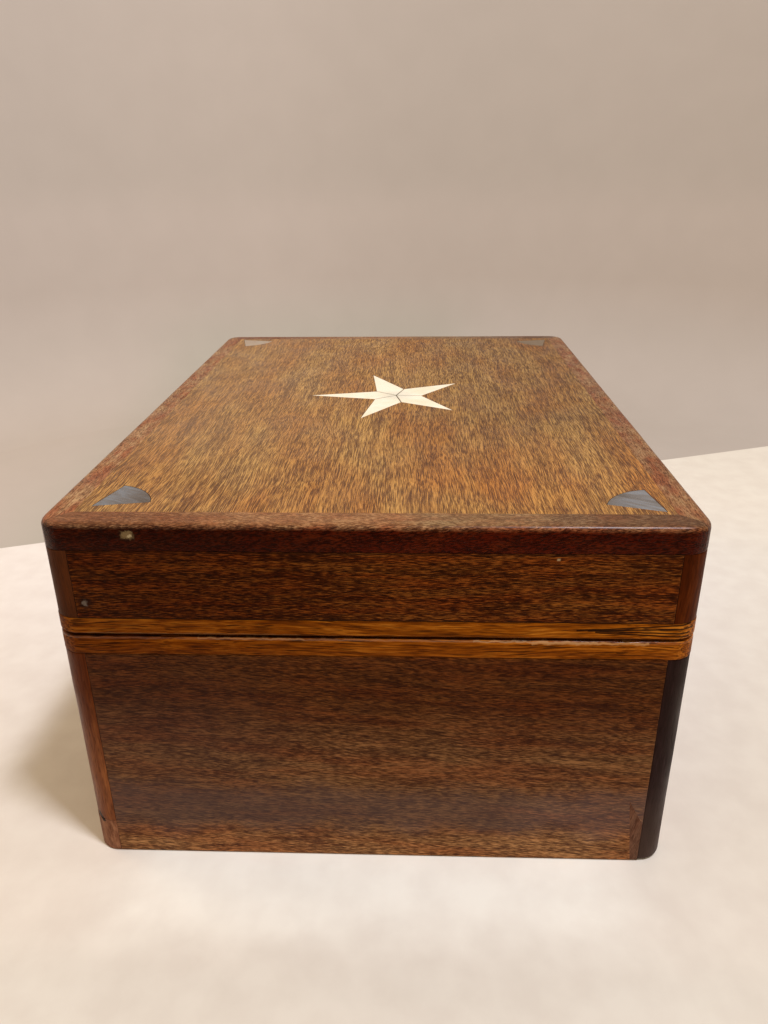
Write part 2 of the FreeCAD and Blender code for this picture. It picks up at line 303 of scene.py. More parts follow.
@dataclass(frozen=True)
class Wood(Finish):
    """Old polished wood: bands, fibres and dark pores drawn out along the grain under a thin varnish.

    Real pores are about 0.2 mm wide. They are drawn up to about twice as wide, because finer ones
    don't show at the picture's scale.

    Attributes:
        grain: The axis that the fibres run along.
        dark: Hex colour of the late wood.
        middle: Hex colour between the two.
        light: Hex colour of the early wood.
        pore: Hex colour of the open pores.
        figure_mm: Width and length of the cloudy figure.
        band_mm: Width and length of the growth bands.
        fibre_mm: Width and length of the fibre streaks.
        pore_mm: Width and length of the pores.
        weights: How much figure, bands and fibres change the colour.
        pore_cut: Noise level above which there is a pore.
        pore_depth: How dark the pores are, 0 to 1.
        blush: Hex colour that stains the wood in broad patches.
        blush_mm: Width and length of these patches.
        tilt: Slope of the fibres, as turns about X, Y and Z in degrees.
        bend_mm: How far the fibres wander from straight.
        roughness: Roughness of the surface.
        specular: Strength of its reflections; 0.5 is a plain varnish.
        gleam: Hex colour of its reflections seen face on, warm where the polish has yellowed.
        varnish: Weight of a smooth varnish coat.
        varnish_roughness: Roughness of the varnish coat.
        relief_mm: Depth of the open grain.
        burnish: Where hands have rubbed the wood to a gloss, such as a round edge; its colour isn't used.
    """

    grain: Grain
    dark: str
    middle: str
    light: str
    pore: str
    figure_mm: Pair = (9.0, 26.0)
    band_mm: Pair = (1.8, 45.0)
    fibre_mm: Pair = (0.6, 7.0)
    pore_mm: Pair = (0.45, 4.0)
    weights: Triple = (1.0, 1.0, 1.4)
    pore_cut: float = 0.54
    pore_depth: float = 0.7
    blush: str = "ffffff"
    blush_mm: Pair = (22.0, 60.0)
    tilt: Triple = (0.0, 0.0, 0.0)
    bend_mm: float = 4.0
    roughness: float = 0.5
    specular: float = 0.25
    gleam: str = "ffffff"
    varnish: float = 0.0
    varnish_roughness: float = 0.2
    relief_mm: float = 0.04
    burnish: Tint | None = None

    def shade(self, tree: Tree, place: Socket) -> Socket:
        """Draws the grain, lays the tints on and polishes the wood.

        Args:
            tree: The material's node tree.
            place: The surface point, in metres.

        Returns:
            The shader's socket.
        """
        bent = self.bend(tree, place)
        fibres = self.streaks(tree, bent, self.fibre_mm, 3.0)
        pores = self.open_pores(tree, bent)
        colour = add(tree, "ShaderNodeMix", {
            "Factor_Float": pores,
            "A_Color": self.body_colour(tree, bent, fibres),
            "B_Color": linear(self.pore),
        }, data_type="RGBA").outputs[MIXED_COLOUR]
        return self.polish(tree, place, self.tinted(tree, place, colour), fibres, pores)

    def bend(self, tree: Tree, place: Socket) -> Socket:
        """Bends the grain a little, so that its lines aren't ruled.

        Args:
            tree: The material's node tree.
            place: The surface point, in metres.

        Returns:
            The point that the grain is drawn at.
        """
        drift = add(tree, "ShaderNodeTexNoise", {"Vector": place, "Scale": 1 / (WANDER * MM), "Detail": 1.0})
        amount = self.bend_mm * MM
        return add(tree, "ShaderNodeVectorMath", {
            "Vector": drift.outputs["Color"],
            "Vector_001": (amount, amount, amount),
            "Vector_002": place,
        }, operation="MULTIPLY_ADD").outputs["Vector"]

    def streaks(self, tree: Tree, place: Socket, size: Pair, detail: float, shift: float = 0.0) -> Socket:
        """Draws a noise out along the fibres.

        Args:
            tree: The material's node tree.
            place: The surface point, in metres.
            size: Width across and length along the fibres, mm.
            detail: Octaves of finer noise.
            shift: Where the noise is taken from, mm, so that two layers differ.

        Returns:
            The noise's value, 0 to 1.
        """
        extent = [size[0] * MM] * 3
        extent[self.grain.value] = size[1] * MM
        drawn = add(tree, "ShaderNodeMapping", {
            "Vector": place,
            "Location": (shift * MM, shift * MM, shift * MM),
            "Rotation": [math.radians(turn) for turn in self.tilt],
            "Scale": extent,
        }, vector_type="TEXTURE")
        return add(tree, "ShaderNodeTexNoise", {
            "Vector": drawn.outputs["Vector"], "Scale": 1.0, "Detail": detail, "Roughness": 0.6,
        }).outputs[0]

    def body_colour(self, tree: Tree, bent: Socket, fibres: Socket) -> Socket:
        """Mixes figure, bands and fibres into the wood's colour, with its broad blush.

        Args:
            tree: The material's node tree.
            bent: The point that the grain is drawn at.
            fibres: The fibre streaks.

        Returns:
            The colour's socket.
        """
        figure = self.streaks(tree, bent, self.figure_mm, 3.0)
        bands = self.streaks(tree, bent, self.band_mm, 3.0)
        tone: Socket | float = 0.5 - sum(self.weights) / 2
        for layer, weight in zip((figure, bands, fibres), self.weights):
            tone = add(tree, "ShaderNodeMath", {
                "Value": layer, "Value_001": weight, "Value_002": tone,
            }, operation="MULTIPLY_ADD").outputs[0]
        colour = add(tree, "ShaderNodeValToRGB", {"Fac": tone}, ramp=(
            (0.2, self.dark), (0.5, self.middle), (0.8, self.light),
        )).outputs["Color"]
        cloud = self.streaks(tree, bent, self.blush_mm, 2.0, BLUSH_SHIFT)
        patch = add(tree, "ShaderNodeMapRange", {"Value": cloud, "From Min": 0.4, "From Max": 0.65})
        return add(tree, "ShaderNodeMix", {
            "Factor_Float": patch.outputs["Result"], "A_Color": colour, "B_Color": linear(self.blush),
        }, data_type="RGBA", blend_type="MULTIPLY").outputs[MIXED_COLOUR]

    def open_pores(self, tree: Tree, bent: Socket) -> Socket:
        """The pores, as a mask from 0 to their depth."""
        dashes = self.streaks(tree, bent, self.pore_mm, 1.0, PORE_SHIFT)
        return add(tree, "ShaderNodeMapRange", {
            "Value": dashes,
            "From Min": self.pore_cut,
            "From Max": self.pore_cut + PORE_EDGE,
            "To Max": self.pore_depth,
        }).outputs["Result"]

    def polish(self, tree: Tree, place: Socket, colour: Socket, fibres: Socket, pores: Socket) -> Socket:
        """Puts the polish on.

        Args:
            tree: The material's node tree.
            place: The surface point, in metres.
            colour: The wood's colour.
            fibres: The fibre streaks, for the relief.
            pores: The pores' mask, for the relief and the gloss.

        Returns:
            The shader's socket.
        """
        smudges = add(tree, "ShaderNodeTexNoise", {
            "Vector": place, "Scale": 1 / (SMUDGE * MM), "Detail": 4.0,
        })
        gloss = add(tree, "ShaderNodeMapRange", {
            "Value": smudges.outputs[0], "From Min": 0.3, "From Max": 0.7,
            "To Min": self.roughness - SMUDGE_ROUGHNESS, "To Max": self.roughness + SMUDGE_ROUGHNESS,
        }).outputs["Result"]
        gloss = add(tree, "ShaderNodeMath", {
            "Value": pores, "Value_001": PORE_ROUGHNESS, "Value_002": gloss,
        }, operation="MULTIPLY_ADD").outputs[0]
        sunk = add(tree, "ShaderNodeMath", {
            "Value": pores, "Value_001": -1.0, "Value_002": fibres,
        }, operation="MULTIPLY_ADD").outputs[0]
        relief = add(tree, "ShaderNodeBump", {
            "Height": sunk, "Distance": self.relief_mm * MM, "Strength": 1.0,
        })
        return add(tree, "ShaderNodeBsdfPrincipled", {
            "Base Color": colour,
            "Roughness": gloss,
            "Specular IOR Level": self.specular,
            "Specular Tint": linear(self.gleam),
            "Normal": relief.outputs["Normal"],
            "Coat Weight": self.burnish.mask(tree, place) if self.burnish else self.varnish,
            "Coat Roughness": self.varnish_roughness,
        }).outputs["BSDF"]


@dataclass(frozen=True)
class Bone(Finish):
    """Sawn and polished bone: ivory white, faintly clouded, with fine pits.

    Real pits are about 0.2 mm across. They are drawn coarser, because finer ones don't show.

    Attributes:
        pale: Hex colour of most of it.
        cream: Hex colour of the clouds.
        pit: Hex colour of the pits.
        cloud_mm: Size of the clouds.
        pit_mm: Size of the pits.
        pit_depth_mm: Depth of the pits.
        roughness: Roughness of the surface.
        refraction: How strongly it bends light.
    """

    name: str = "polished_bone"
    pale: str = "faf2dc"
    cream: str = "f0e5c8"
    pit: str = "cbb68e"
    cloud_mm: float = 9.0
    pit_mm: float = 0.7
    pit_depth_mm: float = 0.03
    roughness: float = 0.42
    refraction: float = 1.54

    def shade(self, tree: Tree, place: Socket) -> Socket:
        """Clouds the bone and pits it.

        Args:
            tree: The material's node tree.
            place: The surface point, in metres.

        Returns:
            The shader's socket.
        """
        cloud = add(tree, "ShaderNodeTexNoise", {
            "Vector": place, "Scale": 1 / (self.cloud_mm * MM), "Detail": 4.0,
        })
        colour = add(tree, "ShaderNodeValToRGB", {"Fac": cloud.outputs[0]}, ramp=(
            (0.32, self.cream), (0.6, self.pale),
        )).outputs["Color"]
        dots = add(tree, "ShaderNodeTexNoise", {
            "Vector": place, "Scale": 1 / (self.pit_mm * MM), "Detail": 2.0,
        })
        pits = add(tree, "ShaderNodeMapRange", {
            "Value": dots.outputs[0], "From Min": 0.64, "From Max": 0.74, "To Max": 0.5,
        }).outputs["Result"]
        colour = add(tree, "ShaderNodeMix", {
            "Factor_Float": pits, "A_Color": colour, "B_Color": linear(self.pit),
        }, data_type="RGBA").outputs[MIXED_COLOUR]
        relief = add(tree, "ShaderNodeBump", {
            "Height": pits, "Distance": self.pit_depth_mm * MM,
        }, invert=True)
        return add(tree, "ShaderNodeBsdfPrincipled", {
            "Base Color": self.tinted(tree, place, colour),
            "Roughness": self.roughness,
            "IOR": self.refraction,
            "Normal": relief.outputs["Normal"],
        }).outputs["BSDF"]


@dataclass(frozen=True)
class Pearl(Finish):
    """Ground and polished mother-of-pearl: its grown layers show as grey, blue and rose lustrous streaks.

    Attributes:
        dark: Hex colour of the deepest streaks.
        grey: Hex colour of most of it.
        blue: Hex colour of the cool streaks.
        rose: Hex colour of the warm streaks.
        layer_mm: Size of the streaks along their length, across it and in height.
        slant: Turn of the streaks from the box's length, degrees.
        relief_mm: Depth of the layers' steps.
        roughness: Roughness of the surface.
        refraction: How strongly it bends light.
        lustre: How much it shines like metal, 0 to 1.
    """

    dark: str
    grey: str
    blue: str
    rose: str
    layer_mm: Triple = (18.0, 4.0, 4.0)
    slant: float = 62.0
    relief_mm: float = 0.06
    roughness: float = 0.28
    refraction: float = 1.6
    lustre: float = 0.35

    def shade(self, tree: Tree, place: Socket) -> Socket:
        """Draws the layers and gives them their lustre.

        Args:
            tree: The material's node tree.
            place: The surface point, in metres.

        Returns:
            The shader's socket.
        """
        drawn = add(tree, "ShaderNodeMapping", {
            "Vector": place,
            "Rotation": (0.0, 0.0, math.radians(self.slant)),
            "Scale": [size * MM for size in self.layer_mm],
        }, vector_type="TEXTURE")
        layers = add(tree, "ShaderNodeTexNoise", {
            "Vector": drawn.outputs["Vector"], "Scale": 1.0, "Detail": 4.0, "Distortion": 0.6,
        })
        colour = add(tree, "ShaderNodeValToRGB", {"Fac": layers.outputs[0]}, ramp=(
            (0.28, self.dark), (0.42, self.grey), (0.52, self.blue), (0.6, self.grey), (0.72, self.rose),
        )).outputs["Color"]
        relief = add(tree, "ShaderNodeBump", {"Height": layers.outputs[0], "Distance": self.relief_mm * MM})
        return add(tree, "ShaderNodeBsdfPrincipled", {
            "Base Color": self.tinted(tree, place, colour),
            "Roughness": self.roughness,
            "IOR": self.refraction,
            "Metallic": self.lustre,
            "Normal": relief.outputs["Normal"],
        }).outputs["BSDF"]


@dataclass(frozen=True)
class AgedBrass(Finish):
    """Cast and filed brass, gone brown with age and rubbed bright in places.

    Attributes:
        bright: Hex colour where it is rubbed.
        brown: Hex colour where it is stained.
        stain_mm: Size of the stains.
        file_mm: Size of the file marks along X, Y and Z.
        relief_mm: Depth of the file marks.
        stained_roughness: Roughness where it is stained.
        rubbed_roughness: Roughness where it is rubbed.
    """

    name: str = "aged_filed_brass"
    bright: str = "b5913f"
    brown: str = "5d451f"
    stain_mm: float = 3.0
    file_mm: Triple = (2.5, 1 / 6, 1 / 6)
    relief_mm: float = 0.02
    stained_roughness: float = 0.5
    rubbed_roughness: float = 0.3

    def shade(self, tree: Tree, place: Socket) -> Socket:
        """Stains the brass and files it.

        Args:
            tree: The material's node tree.
            place: The surface point, in metres.

        Returns:
            The shader's socket.
        """
        stain = add(tree, "ShaderNodeTexNoise", {
            "Vector": place, "Scale": 1 / (self.stain_mm * MM), "Detail": 5.0,
        })
        colour = add(tree, "ShaderNodeValToRGB", {"Fac": stain.outputs[0]}, ramp=(
            (0.35, self.brown), (0.65, self.bright),
        )).outputs["Color"]
        drawn = add(tree, "ShaderNodeMapping", {
            "Vector": place, "Scale": [1 / (size * MM) for size in self.file_mm],
        })
        marks = add(tree, "ShaderNodeTexNoise", {"Vector": drawn.outputs["Vector"], "Scale": 1.0})
        gloss = add(tree, "ShaderNodeMapRange", {
            "Value": stain.outputs[0], "From Min": 0.3, "From Max": 0.7,
            "To Min": self.stained_roughness, "To Max": self.rubbed_roughness,
        })
        relief = add(tree, "ShaderNodeBump", {"Height": marks.outputs[0], "Distance": self.relief_mm * MM})
        return add(tree, "ShaderNodeBsdfPrincipled", {
            "Base Color": self.tinted(tree, place, colour),
            "Metallic": 1.0,
            "Roughness": gloss.outputs["Result"],
            "Normal": relief.outputs["Normal"],
        }).outputs["BSDF"]


@dataclass(frozen=True)
class Plaster(Finish):
    """Smoothed plaster for the stage: plain and matt, with a faint mottle.

    Attributes:
        first: Hex colour of the darker mottle.
        second: Hex colour of the lighter mottle.
        mottle_mm: Size of the mottle.
        roughness: Roughness of the surface.
    """

    first: str
    second: str
    mottle_mm: float
    roughness: float

    def shade(self, tree: Tree, place: Socket) -> Socket:
        """Mottles the surface.

        Args:
            tree: The material's node tree.
            place: The surface point, in metres.

        Returns:
            The shader's socket.
        """
        cloud = add(tree, "ShaderNodeTexNoise", {
            "Vector": place, "Scale": 1 / (self.mottle_mm * MM), "Detail": 5.0,
        })
        colour = add(tree, "ShaderNodeValToRGB", {"Fac": cloud.outputs[0]}, ramp=(
            (0.35, self.first), (0.65, self.second),
        )).outputs["Color"]
        return add(tree, "ShaderNodeBsdfPrincipled", {
            "Base Color": self.tinted(tree, place, colour), "Roughness": self.roughness,
        }).outputs["BSDF"]


# How near to the outline a point counts as on it, and how far a chord of a rounded corner lies inside it, mm
ON_OUTLINE = 0.02
CHORD_SAG = 0.1


@dataclass(frozen=True)
class Outline:
    """The box seen from above, in metres: a rectangle with rounded corners.

    Attributes:
        half_length: Half of its size along X.
        half_width: Half of its size along Y.
        corner: Radius of its corners.
    """

    half_length: float
    half_width: float
    corner: float = 7.2 * MM

    def distance(self, point: Vector) -> float:
        """Measures how far a point lies outside the outline, whatever its height.

        Args:
            point: The point.

        Returns:
            The distance in metres, negative inside.
        """
        out_x = abs(point.x) - (self.half_length - self.corner)
        out_y = abs(point.y) - (self.half_width - self.corner)
        outside = math.hypot(max(out_x, 0), max(out_y, 0))
        return outside + min(max(out_x, out_y), 0) - self.corner

    def holds(self, *points: Vector) -> bool:
        """True if every point lies on the outline."""
        return all(abs(self.distance(point)) < ON_OUTLINE * MM for point in points)

    def follows(self, first: Vector, last: Vector) -> bool:
        """True if an edge runs along the outline, or is a short chord of a rounded corner."""
        return self.holds(first, last) and abs(self.distance((first + last) / 2)) < CHORD_SAG * MM

    def at_corner(self, point: Vector) -> bool:
        """True if the point stands on a square corner, before it is rounded."""
        beside_end = abs(abs(point.x) - self.half_length) < TOUCH
        return beside_end and abs(abs(point.y) - self.half_width) < TOUCH


def bevel(bm: bmesh.types.BMesh, edges: list[bmesh.types.BMEdge], size: float, segments: int) -> None:
    """Rounds edges of a mesh.

    Args:
        bm: The mesh.
        edges: The edges to round.
        size: Radius in metres.
        segments: Faces across the round.
    """
    if edges and size:
        bmesh.ops.bevel(
            bm, geom=edges, offset=size, offset_type="OFFSET", segments=segments, profile=0.5,
            affect="EDGES", clamp_overlap=False, material=-1,
        )


def saw(bm: bmesh.types.BMesh, spot: Vector, normal: Vector, clear: bool = False) -> list[bmesh.types.BMEdge]:
    """Cuts a mesh along a plane.

    Args:
        bm: The mesh.
        spot: A point of the plane.
        normal: The direction that the plane faces.
        clear: Whether what lies beyond the plane is taken off.

    Returns:
        The edges along the cut.
    """
    geometry = [*bm.verts, *bm.edges, *bm.faces]
    cut = bmesh.ops.bisect_plane(
        bm, geom=geometry, dist=TOUCH, plane_co=spot, plane_no=normal, clear_outer=clear,
    )
    return [item for item in cut["geom_cut"] if isinstance(item, bmesh.types.BMEdge)]


def to_object(bm: bmesh.types.BMesh, name: str, *finishes: Finish) -> bpy.types.Object:
    """Turns a mesh into a dressed object with smooth faces, and frees the mesh.

    Args:
        bm: The mesh.
        name: The object's name.
        *finishes: What its faces are made of, in the order of their material numbers.

    Returns:
        The new object.
    """
    for face in bm.faces:
        face.smooth = True
    mesh = bpy.data.meshes.new(name)
    bm.to_mesh(mesh)
    bm.free()
    for finish in finishes:
        mesh.materials.append(finish.material())
    piece = bpy.data.objects.new(name, mesh)
    bpy.context.scene.collection.objects.link(piece)
    return piece


# Faces across a corner, a full round, an eased edge and a joint
CORNER_FACES = 8
ROUND_FACES = 5
EASED_FACES = 3
JOINT_FACES = 2
# Radius above which an edge has a full round, mm
FULL_ROUND = 1.0
# Outer edges that turn by more than the first angle are joints, and above the second look sharp, degrees
JOINT_ANGLE = 60.0
SHARP_ANGLE = 35.0
# Depth below the outline where wear ends, and the distance over which it dies out before that, mm
WEAR_END = 3.0
WEAR_FADE = 2.0
# Length and depth of the hollows and ripples that a hand plane leaves, mm
HOLLOW_LENGTH = 28.0
HOLLOW_DEPTH = 0.14
RIPPLE_LENGTH = 5.0
RIPPLE_DEPTH = 0.05
# Length of the chips and height of the edge that they break out of, mm
CHIP_LENGTH = 6.0
CHIP_HEIGHT = 1.0
# There is a chip where a noise, taken from this place, passes this level; the gain gives its depth
CHIP_PLACE = Vector((7.1, 3.3, 0.0))
CHIP_LEVEL = 0.32
CHIP_GAIN = 3


@dataclass
class Strip:
    """A strip or post on the outside of the box, rounded, uneven by hand and worn at its edges.

    Attributes:
        node: The CAD node that it stands for.
        body: The body that it rides on.
        slot: The record's material slot; not used.
        finish: Its wood.
        outline: The box seen from above.
        top_round: Radius of its upper outer edge, mm.
        bottom_round: Radius of its lower outer edge, mm.
        joint_round: Radius of its other outer edges, mm.
        chips: Depth of the chips on the edge with the larger round, mm.
        pitch: Distance between the cuts along it, mm.
        mitred: Whether its ends are sawn on the slant, to meet its neighbours at the corners.
        flush: How far its inner side reaches over its neighbour's eased edge, as glue and wax fill it, mm.
    """

    node: str
    body: str
    slot: str
    finish: Wood
    outline: Outline
    top_round: float = 0.25
    bottom_round: float = 0.25
    joint_round: float = 0.25
    chips: float = 0.0
    pitch: float = 2.0
    mitred: bool = False
    flush: float = 0.0

    def build(self) -> None:
        """Models the piece, dresses it and sets it in place of its CAD node."""
        low, high = (Vector(corner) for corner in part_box(self.node))
        run = max(range(3), key=lambda axis: high[axis] - low[axis])
        if self.mitred:
            low[run], high[run] = -self.reach(run), self.reach(run)
            inner, inwards = (low, -1) if low[1 - run] > 0 else (high, 1)
            inner[1 - run] += inwards * self.flush * MM
        bm = bmesh.new()
        middle, size = (low + high) / 2, high - low
        block = Matrix.Translation(middle) @ Matrix.Diagonal((*size, 1.0))
        bmesh.ops.create_cube(bm, size=1.0, matrix=block)
        self.round_corners(bm)
        self.round_outer_edges(bm, low, high)
        if self.mitred:
            self.saw_mitres(bm, middle, run)
        self.cut_across(bm, low, high, run)
        self.wear(bm, low, high, run)
        piece = to_object(bm, f"{self.node}_worn", self.finish)
        piece.data.set_sharp_from_angle(angle=math.radians(SHARP_ANGLE))
        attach(piece, self.body)
        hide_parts(self.node)
        LOG.info("%s replaces %s", piece.name, self.node)

    def reach(self, axis: int) -> float:
        """How far the box reaches from its middle along X or Y."""
        return (self.outline.half_length, self.outline.half_width)[axis]

    def saw_mitres(self, bm: bmesh.types.BMesh, middle: Vector, run: int) -> None:
        """Saws both ends on the slant, from the box's corner to the corner of the panel.

        Args:
            bm: The strip at full length.
            middle: The strip's middle.
            run: The axis that it lies along.
        """
        across = 1 - run
        side = math.copysign(1.0, middle[across])
        for end in (-1.0, 1.0):
            corner, normal = Vector((0.0, 0.0, 0.0)), Vector((0.0, 0.0, 0.0))
            corner[run], corner[across] = end * self.reach(run), side * self.reach(across)
            normal[run], normal[across] = end, -side
            border = saw(bm, corner, normal.normalized(), clear=True)
            bmesh.ops.holes_fill(bm, edges=border, sides=0)
        bmesh.ops.recalc_face_normals(bm, faces=bm.faces[:])

    def round_corners(self, bm: bmesh.types.BMesh) -> None:
        """Rounds the upright edges that stand on the box's corners.

        Args:
            bm: The piece with square corners.
        """
        corners = []
        for edge in bm.edges:
            first, last = (vert.co for vert in edge.verts)
            upright = abs(first.z - last.z) > TOUCH
            if upright and self.outline.at_corner(first) and self.outline.at_corner(last):
                corners.append(edge)
        bevel(bm, corners, self.outline.corner, CORNER_FACES)

    def round_outer_edges(self, bm: bmesh.types.BMesh, low: Vector, high: Vector) -> None:
        """Rounds the edges that show: the upper and lower ones, then the joints at the ends.

        Args:
            bm: The piece with its corners rounded.
            low: The lowest corner of its box.
            high: The highest corner of its box.
        """
        for height, radius in ((high.z, self.top_round), (low.z, self.bottom_round)):
            level = [edge for edge in bm.edges if self.on_outline_at(edge, height)]
            bevel(bm, level, radius * MM, ROUND_FACES if radius > FULL_ROUND else EASED_FACES)
        ends = []
        for edge in bm.edges:
            outer = self.outline.holds(*(vert.co for vert in edge.verts))
            if outer and edge.calc_face_angle(0.0) > math.radians(JOINT_ANGLE):
                ends.append(edge)
        bevel(bm, ends, self.joint_round * MM, JOINT_FACES)

    def on_outline_at(self, edge: bmesh.types.BMEdge, height: float) -> bool:
        """True for a level edge that runs along the outline at a height."""
        first, last = (vert.co for vert in edge.verts)
        return max(abs(first.z - height), abs(last.z - height)) < TOUCH and self.outline.follows(first, last)

    def cut_across(self, bm: bmesh.types.BMesh, low: Vector, high: Vector, run: int) -> None:
        """Cuts the piece into short lengths, so that it can be made uneven.

        Args:
            bm: The rounded piece.
            low: The lowest corner of its box.
            high: The highest corner of its box.
            run: The axis that it lies along.
        """
        count = int((high[run] - low[run]) / (self.pitch * MM))
        normal = Vector([float(axis == run) for axis in range(3)])
        for step in range(1, count):
            spot = low.copy()
            spot[run] += (high[run] - low[run]) * step / count
            saw(bm, spot, normal)

    def wear(self, bm: bmesh.types.BMesh, low: Vector, high: Vector, run: int) -> None:
        """Pushes the outer skin in here and there, as planing by hand and years of use leave it.

        Args:
            bm: The piece, cut into short lengths.
            low: The lowest corner of its box.
            high: The highest corner of its box.
            run: The axis that it lies along.
        """
        bm.normal_update()
        mouth_z = high.z if self.top_round >= self.bottom_round else low.z
        moves: list[tuple[bmesh.types.BMVert, Vector]] = []
        for vert in bm.verts:
            fade = (self.outline.distance(vert.co) + WEAR_END * MM) / (WEAR_FADE * MM)
            if fade <= 0.0:
                continue
            inwards = -vert.normal
            inwards[run] = 0.0
            hollow = 0.5 + 0.5 * noise.noise(vert.co / (HOLLOW_LENGTH * MM))
            ripple = 0.5 + 0.5 * noise.noise(vert.co / (RIPPLE_LENGTH * MM))
            depth = (HOLLOW_DEPTH * hollow + RIPPLE_DEPTH * ripple) * MM
            if self.chips and abs(vert.co.z - mouth_z) < CHIP_HEIGHT * MM:
                chip = noise.noise(vert.co / (CHIP_LENGTH * MM) + CHIP_PLACE) - CHIP_LEVEL
                depth += max(chip, 0.0) * CHIP_GAIN * self.chips * MM
            moves.append((vert, inwards * depth * min(fade, 1.0)))
        for vert, move in moves:
            vert.co += move


def dress(nodes: Nodes, names: list[str], finish: Finish) -> None:
    """Gives CAD nodes their material.

    Args:
        nodes: The CAD objects by name.
        names: The nodes to dress.
        finish: What they are made of.
    """
    for name in names:
        mesh = nodes[name].data
        mesh.materials.clear()
        mesh.materials.append(finish.material())
        LOG.info("%s is %s", name, finish.name)


SIDES = ("left", "right")
ROWS = ("front", "back")
BLACK_POST = ("front", "left")
STAR_ARMS = 5


@dataclass
class Lid:
    """The lid: panel, edging, inlays, walls, posts and rim strips.

    Attributes:
        outline: The box seen from above.
        edging_round: Radius of the edging's upper edge, mm.
        edging_flush: How far the edging reaches over the panel's eased edge, mm.
        rim_round: Radius of the rim's lower edge, mm.
        rim_chips: Depth of the chips along it, mm.
        body: The body that the lid's pieces ride on.
    """

    outline: Outline
    edging_round: float = 2.0
    edging_flush: float = 0.25
    rim_round: float = 0.6
    rim_chips: float = 0.3
    body: str = "lid"

    def build(self, nodes: Nodes) -> None:
        """Builds the lid's worn strips and dresses its CAD nodes.

        Args:
            nodes: The CAD objects by name.
        """
        self.dress_panel(nodes)
        self.build_edging()
        self.build_walls(nodes)
        self.build_rims(nodes)

    def dress_panel(self, nodes: Nodes) -> None:
        """Dresses the panel, whose grain runs along the box, and its inlays of bone and shell.

        Args:
            nodes: The CAD objects by name.
        """
        dress(nodes, ["lid_top_panel"], PANEL_WOOD)
        dress(nodes, [f"star_arm_{number}" for number in range(1, STAR_ARMS + 1)], BONE)
        dress(nodes, ["pearl_fan_front_left", "pearl_fan_back_left"], PEARL)
        dress(nodes, ["pearl_fan_front_right"], PEARL_PAINTED_WARM_REFLECTION)
        dress(nodes, ["pearl_fan_back_right"], PEARL_PAINTED_BRIGHT_REFLECTION)

    def build_edging(self) -> None:
        """Builds the dark strips round the panel, mitred, with a full round on their upper edge."""
        for name, finish in (*((s, EDGING_END) for s in SIDES), *((r, EDGING_LONG) for r in ROWS)):
            Strip(
                f"lid_{name}_edging", self.body, "edging_wood", finish, self.outline,
                top_round=self.edging_round, mitred=True, flush=self.edging_flush,
            ).build()

    def build_walls(self, nodes: Nodes) -> None:
        """Dresses dark walls with level grain, and builds posts with upright grain between them.

        Args:
            nodes: The CAD objects by name.
        """
        dress(nodes, [f"lid_{side}_end_wall" for side in SIDES], LID_WALL_END)
        dress(nodes, [f"lid_{row}_wall" for row in ROWS], LID_WALL_LONG)
        for row in ROWS:
            for side in SIDES:
                Strip(f"lid_{row}_{side}_post", self.body, "post_wood", LID_POST, self.outline).build()

    def build_rims(self, nodes: Nodes) -> None:
        """Makes the honey coloured strips at the mouth.

        The back strip keeps its hinge seats from the CAD model, and the left one its worn notch.

        Args:
            nodes: The CAD objects by name.
        """
        dress(nodes, ["lid_back_rim"], RIM_LONG)
        dress(nodes, ["lid_left_rim"], LID_RIM_END)
        for name, finish in (("right", LID_RIM_END), ("front", RIM_LONG)):
            Strip(
                f"lid_{name}_rim", self.body, "rim_wood", finish, self.outline,
                bottom_round=self.rim_round, chips=self.rim_chips,
            ).build()


@dataclass
class Base:
    """The base: bottom, walls, posts with their repairs, and rim strips.

    Attributes:
        outline: The box seen from above.
        rim_round: Radius of the rim's upper edge, mm.
        rim_chips: Depth of the chips along it, mm.
        black_foot_round: Radius of the black post's worn foot, mm.
        body: The body that the base's pieces ride on.
    """

    outline: Outline
    rim_round: float = 0.6
    rim_chips: float = 0.5
    black_foot_round: float = 1.2
    body: str = "base"

    def build(self, nodes: Nodes) -> None:
        """Builds the base's worn strips and dresses its CAD nodes.

        Args:
            nodes: The CAD objects by name.
        """
        dress(nodes, ["base_bottom_board"], BOTTOM_WOOD)
        dress(nodes, [f"base_{side}_end_wall" for side in SIDES], BASE_WALL_END)
        dress(nodes, [f"base_{row}_wall" for row in ROWS], BASE_WALL_LONG)
        dress(nodes, ["base_back_left_foot_patch"], PATCH_WOOD)
        dress(nodes, ["base_left_wedge_patch"], SLIVER_WOOD)
        for row in ROWS:
            for side in SIDES:
                post = Strip(f"base_{row}_{side}_post", self.body, "post_wood", BASE_POST, self.outline)
                if (row, side) == BLACK_POST:
                    post = replace(
                        post, slot="ebonised_wood", finish=EBONISED, bottom_round=self.black_foot_round,
                    )
                post.build()
        dress(nodes, ["base_back_rim"], RIM_LONG)
        for name, finish in (("left", RIM_END), ("right", RIM_END), ("front", RIM_LONG)):
            Strip(
                f"base_{name}_rim", self.body, "rim_wood", finish, self.outline,
                top_round=self.rim_round, chips=self.rim_chips,
            ).build()


@dataclass
class Hinges:
    """Two brass butt hinges with their pins and screws."""

    def build(self, nodes: Nodes) -> None:
        """Dresses the hinges in aged brass."""
        names = [f"{side}_hinge_{piece}" for side in SIDES for piece in ("base_leaf", "lid_leaf", "pin")]
        dress(nodes, names + ["base_hinge_screws", "lid_hinge_screws"], BRASS)


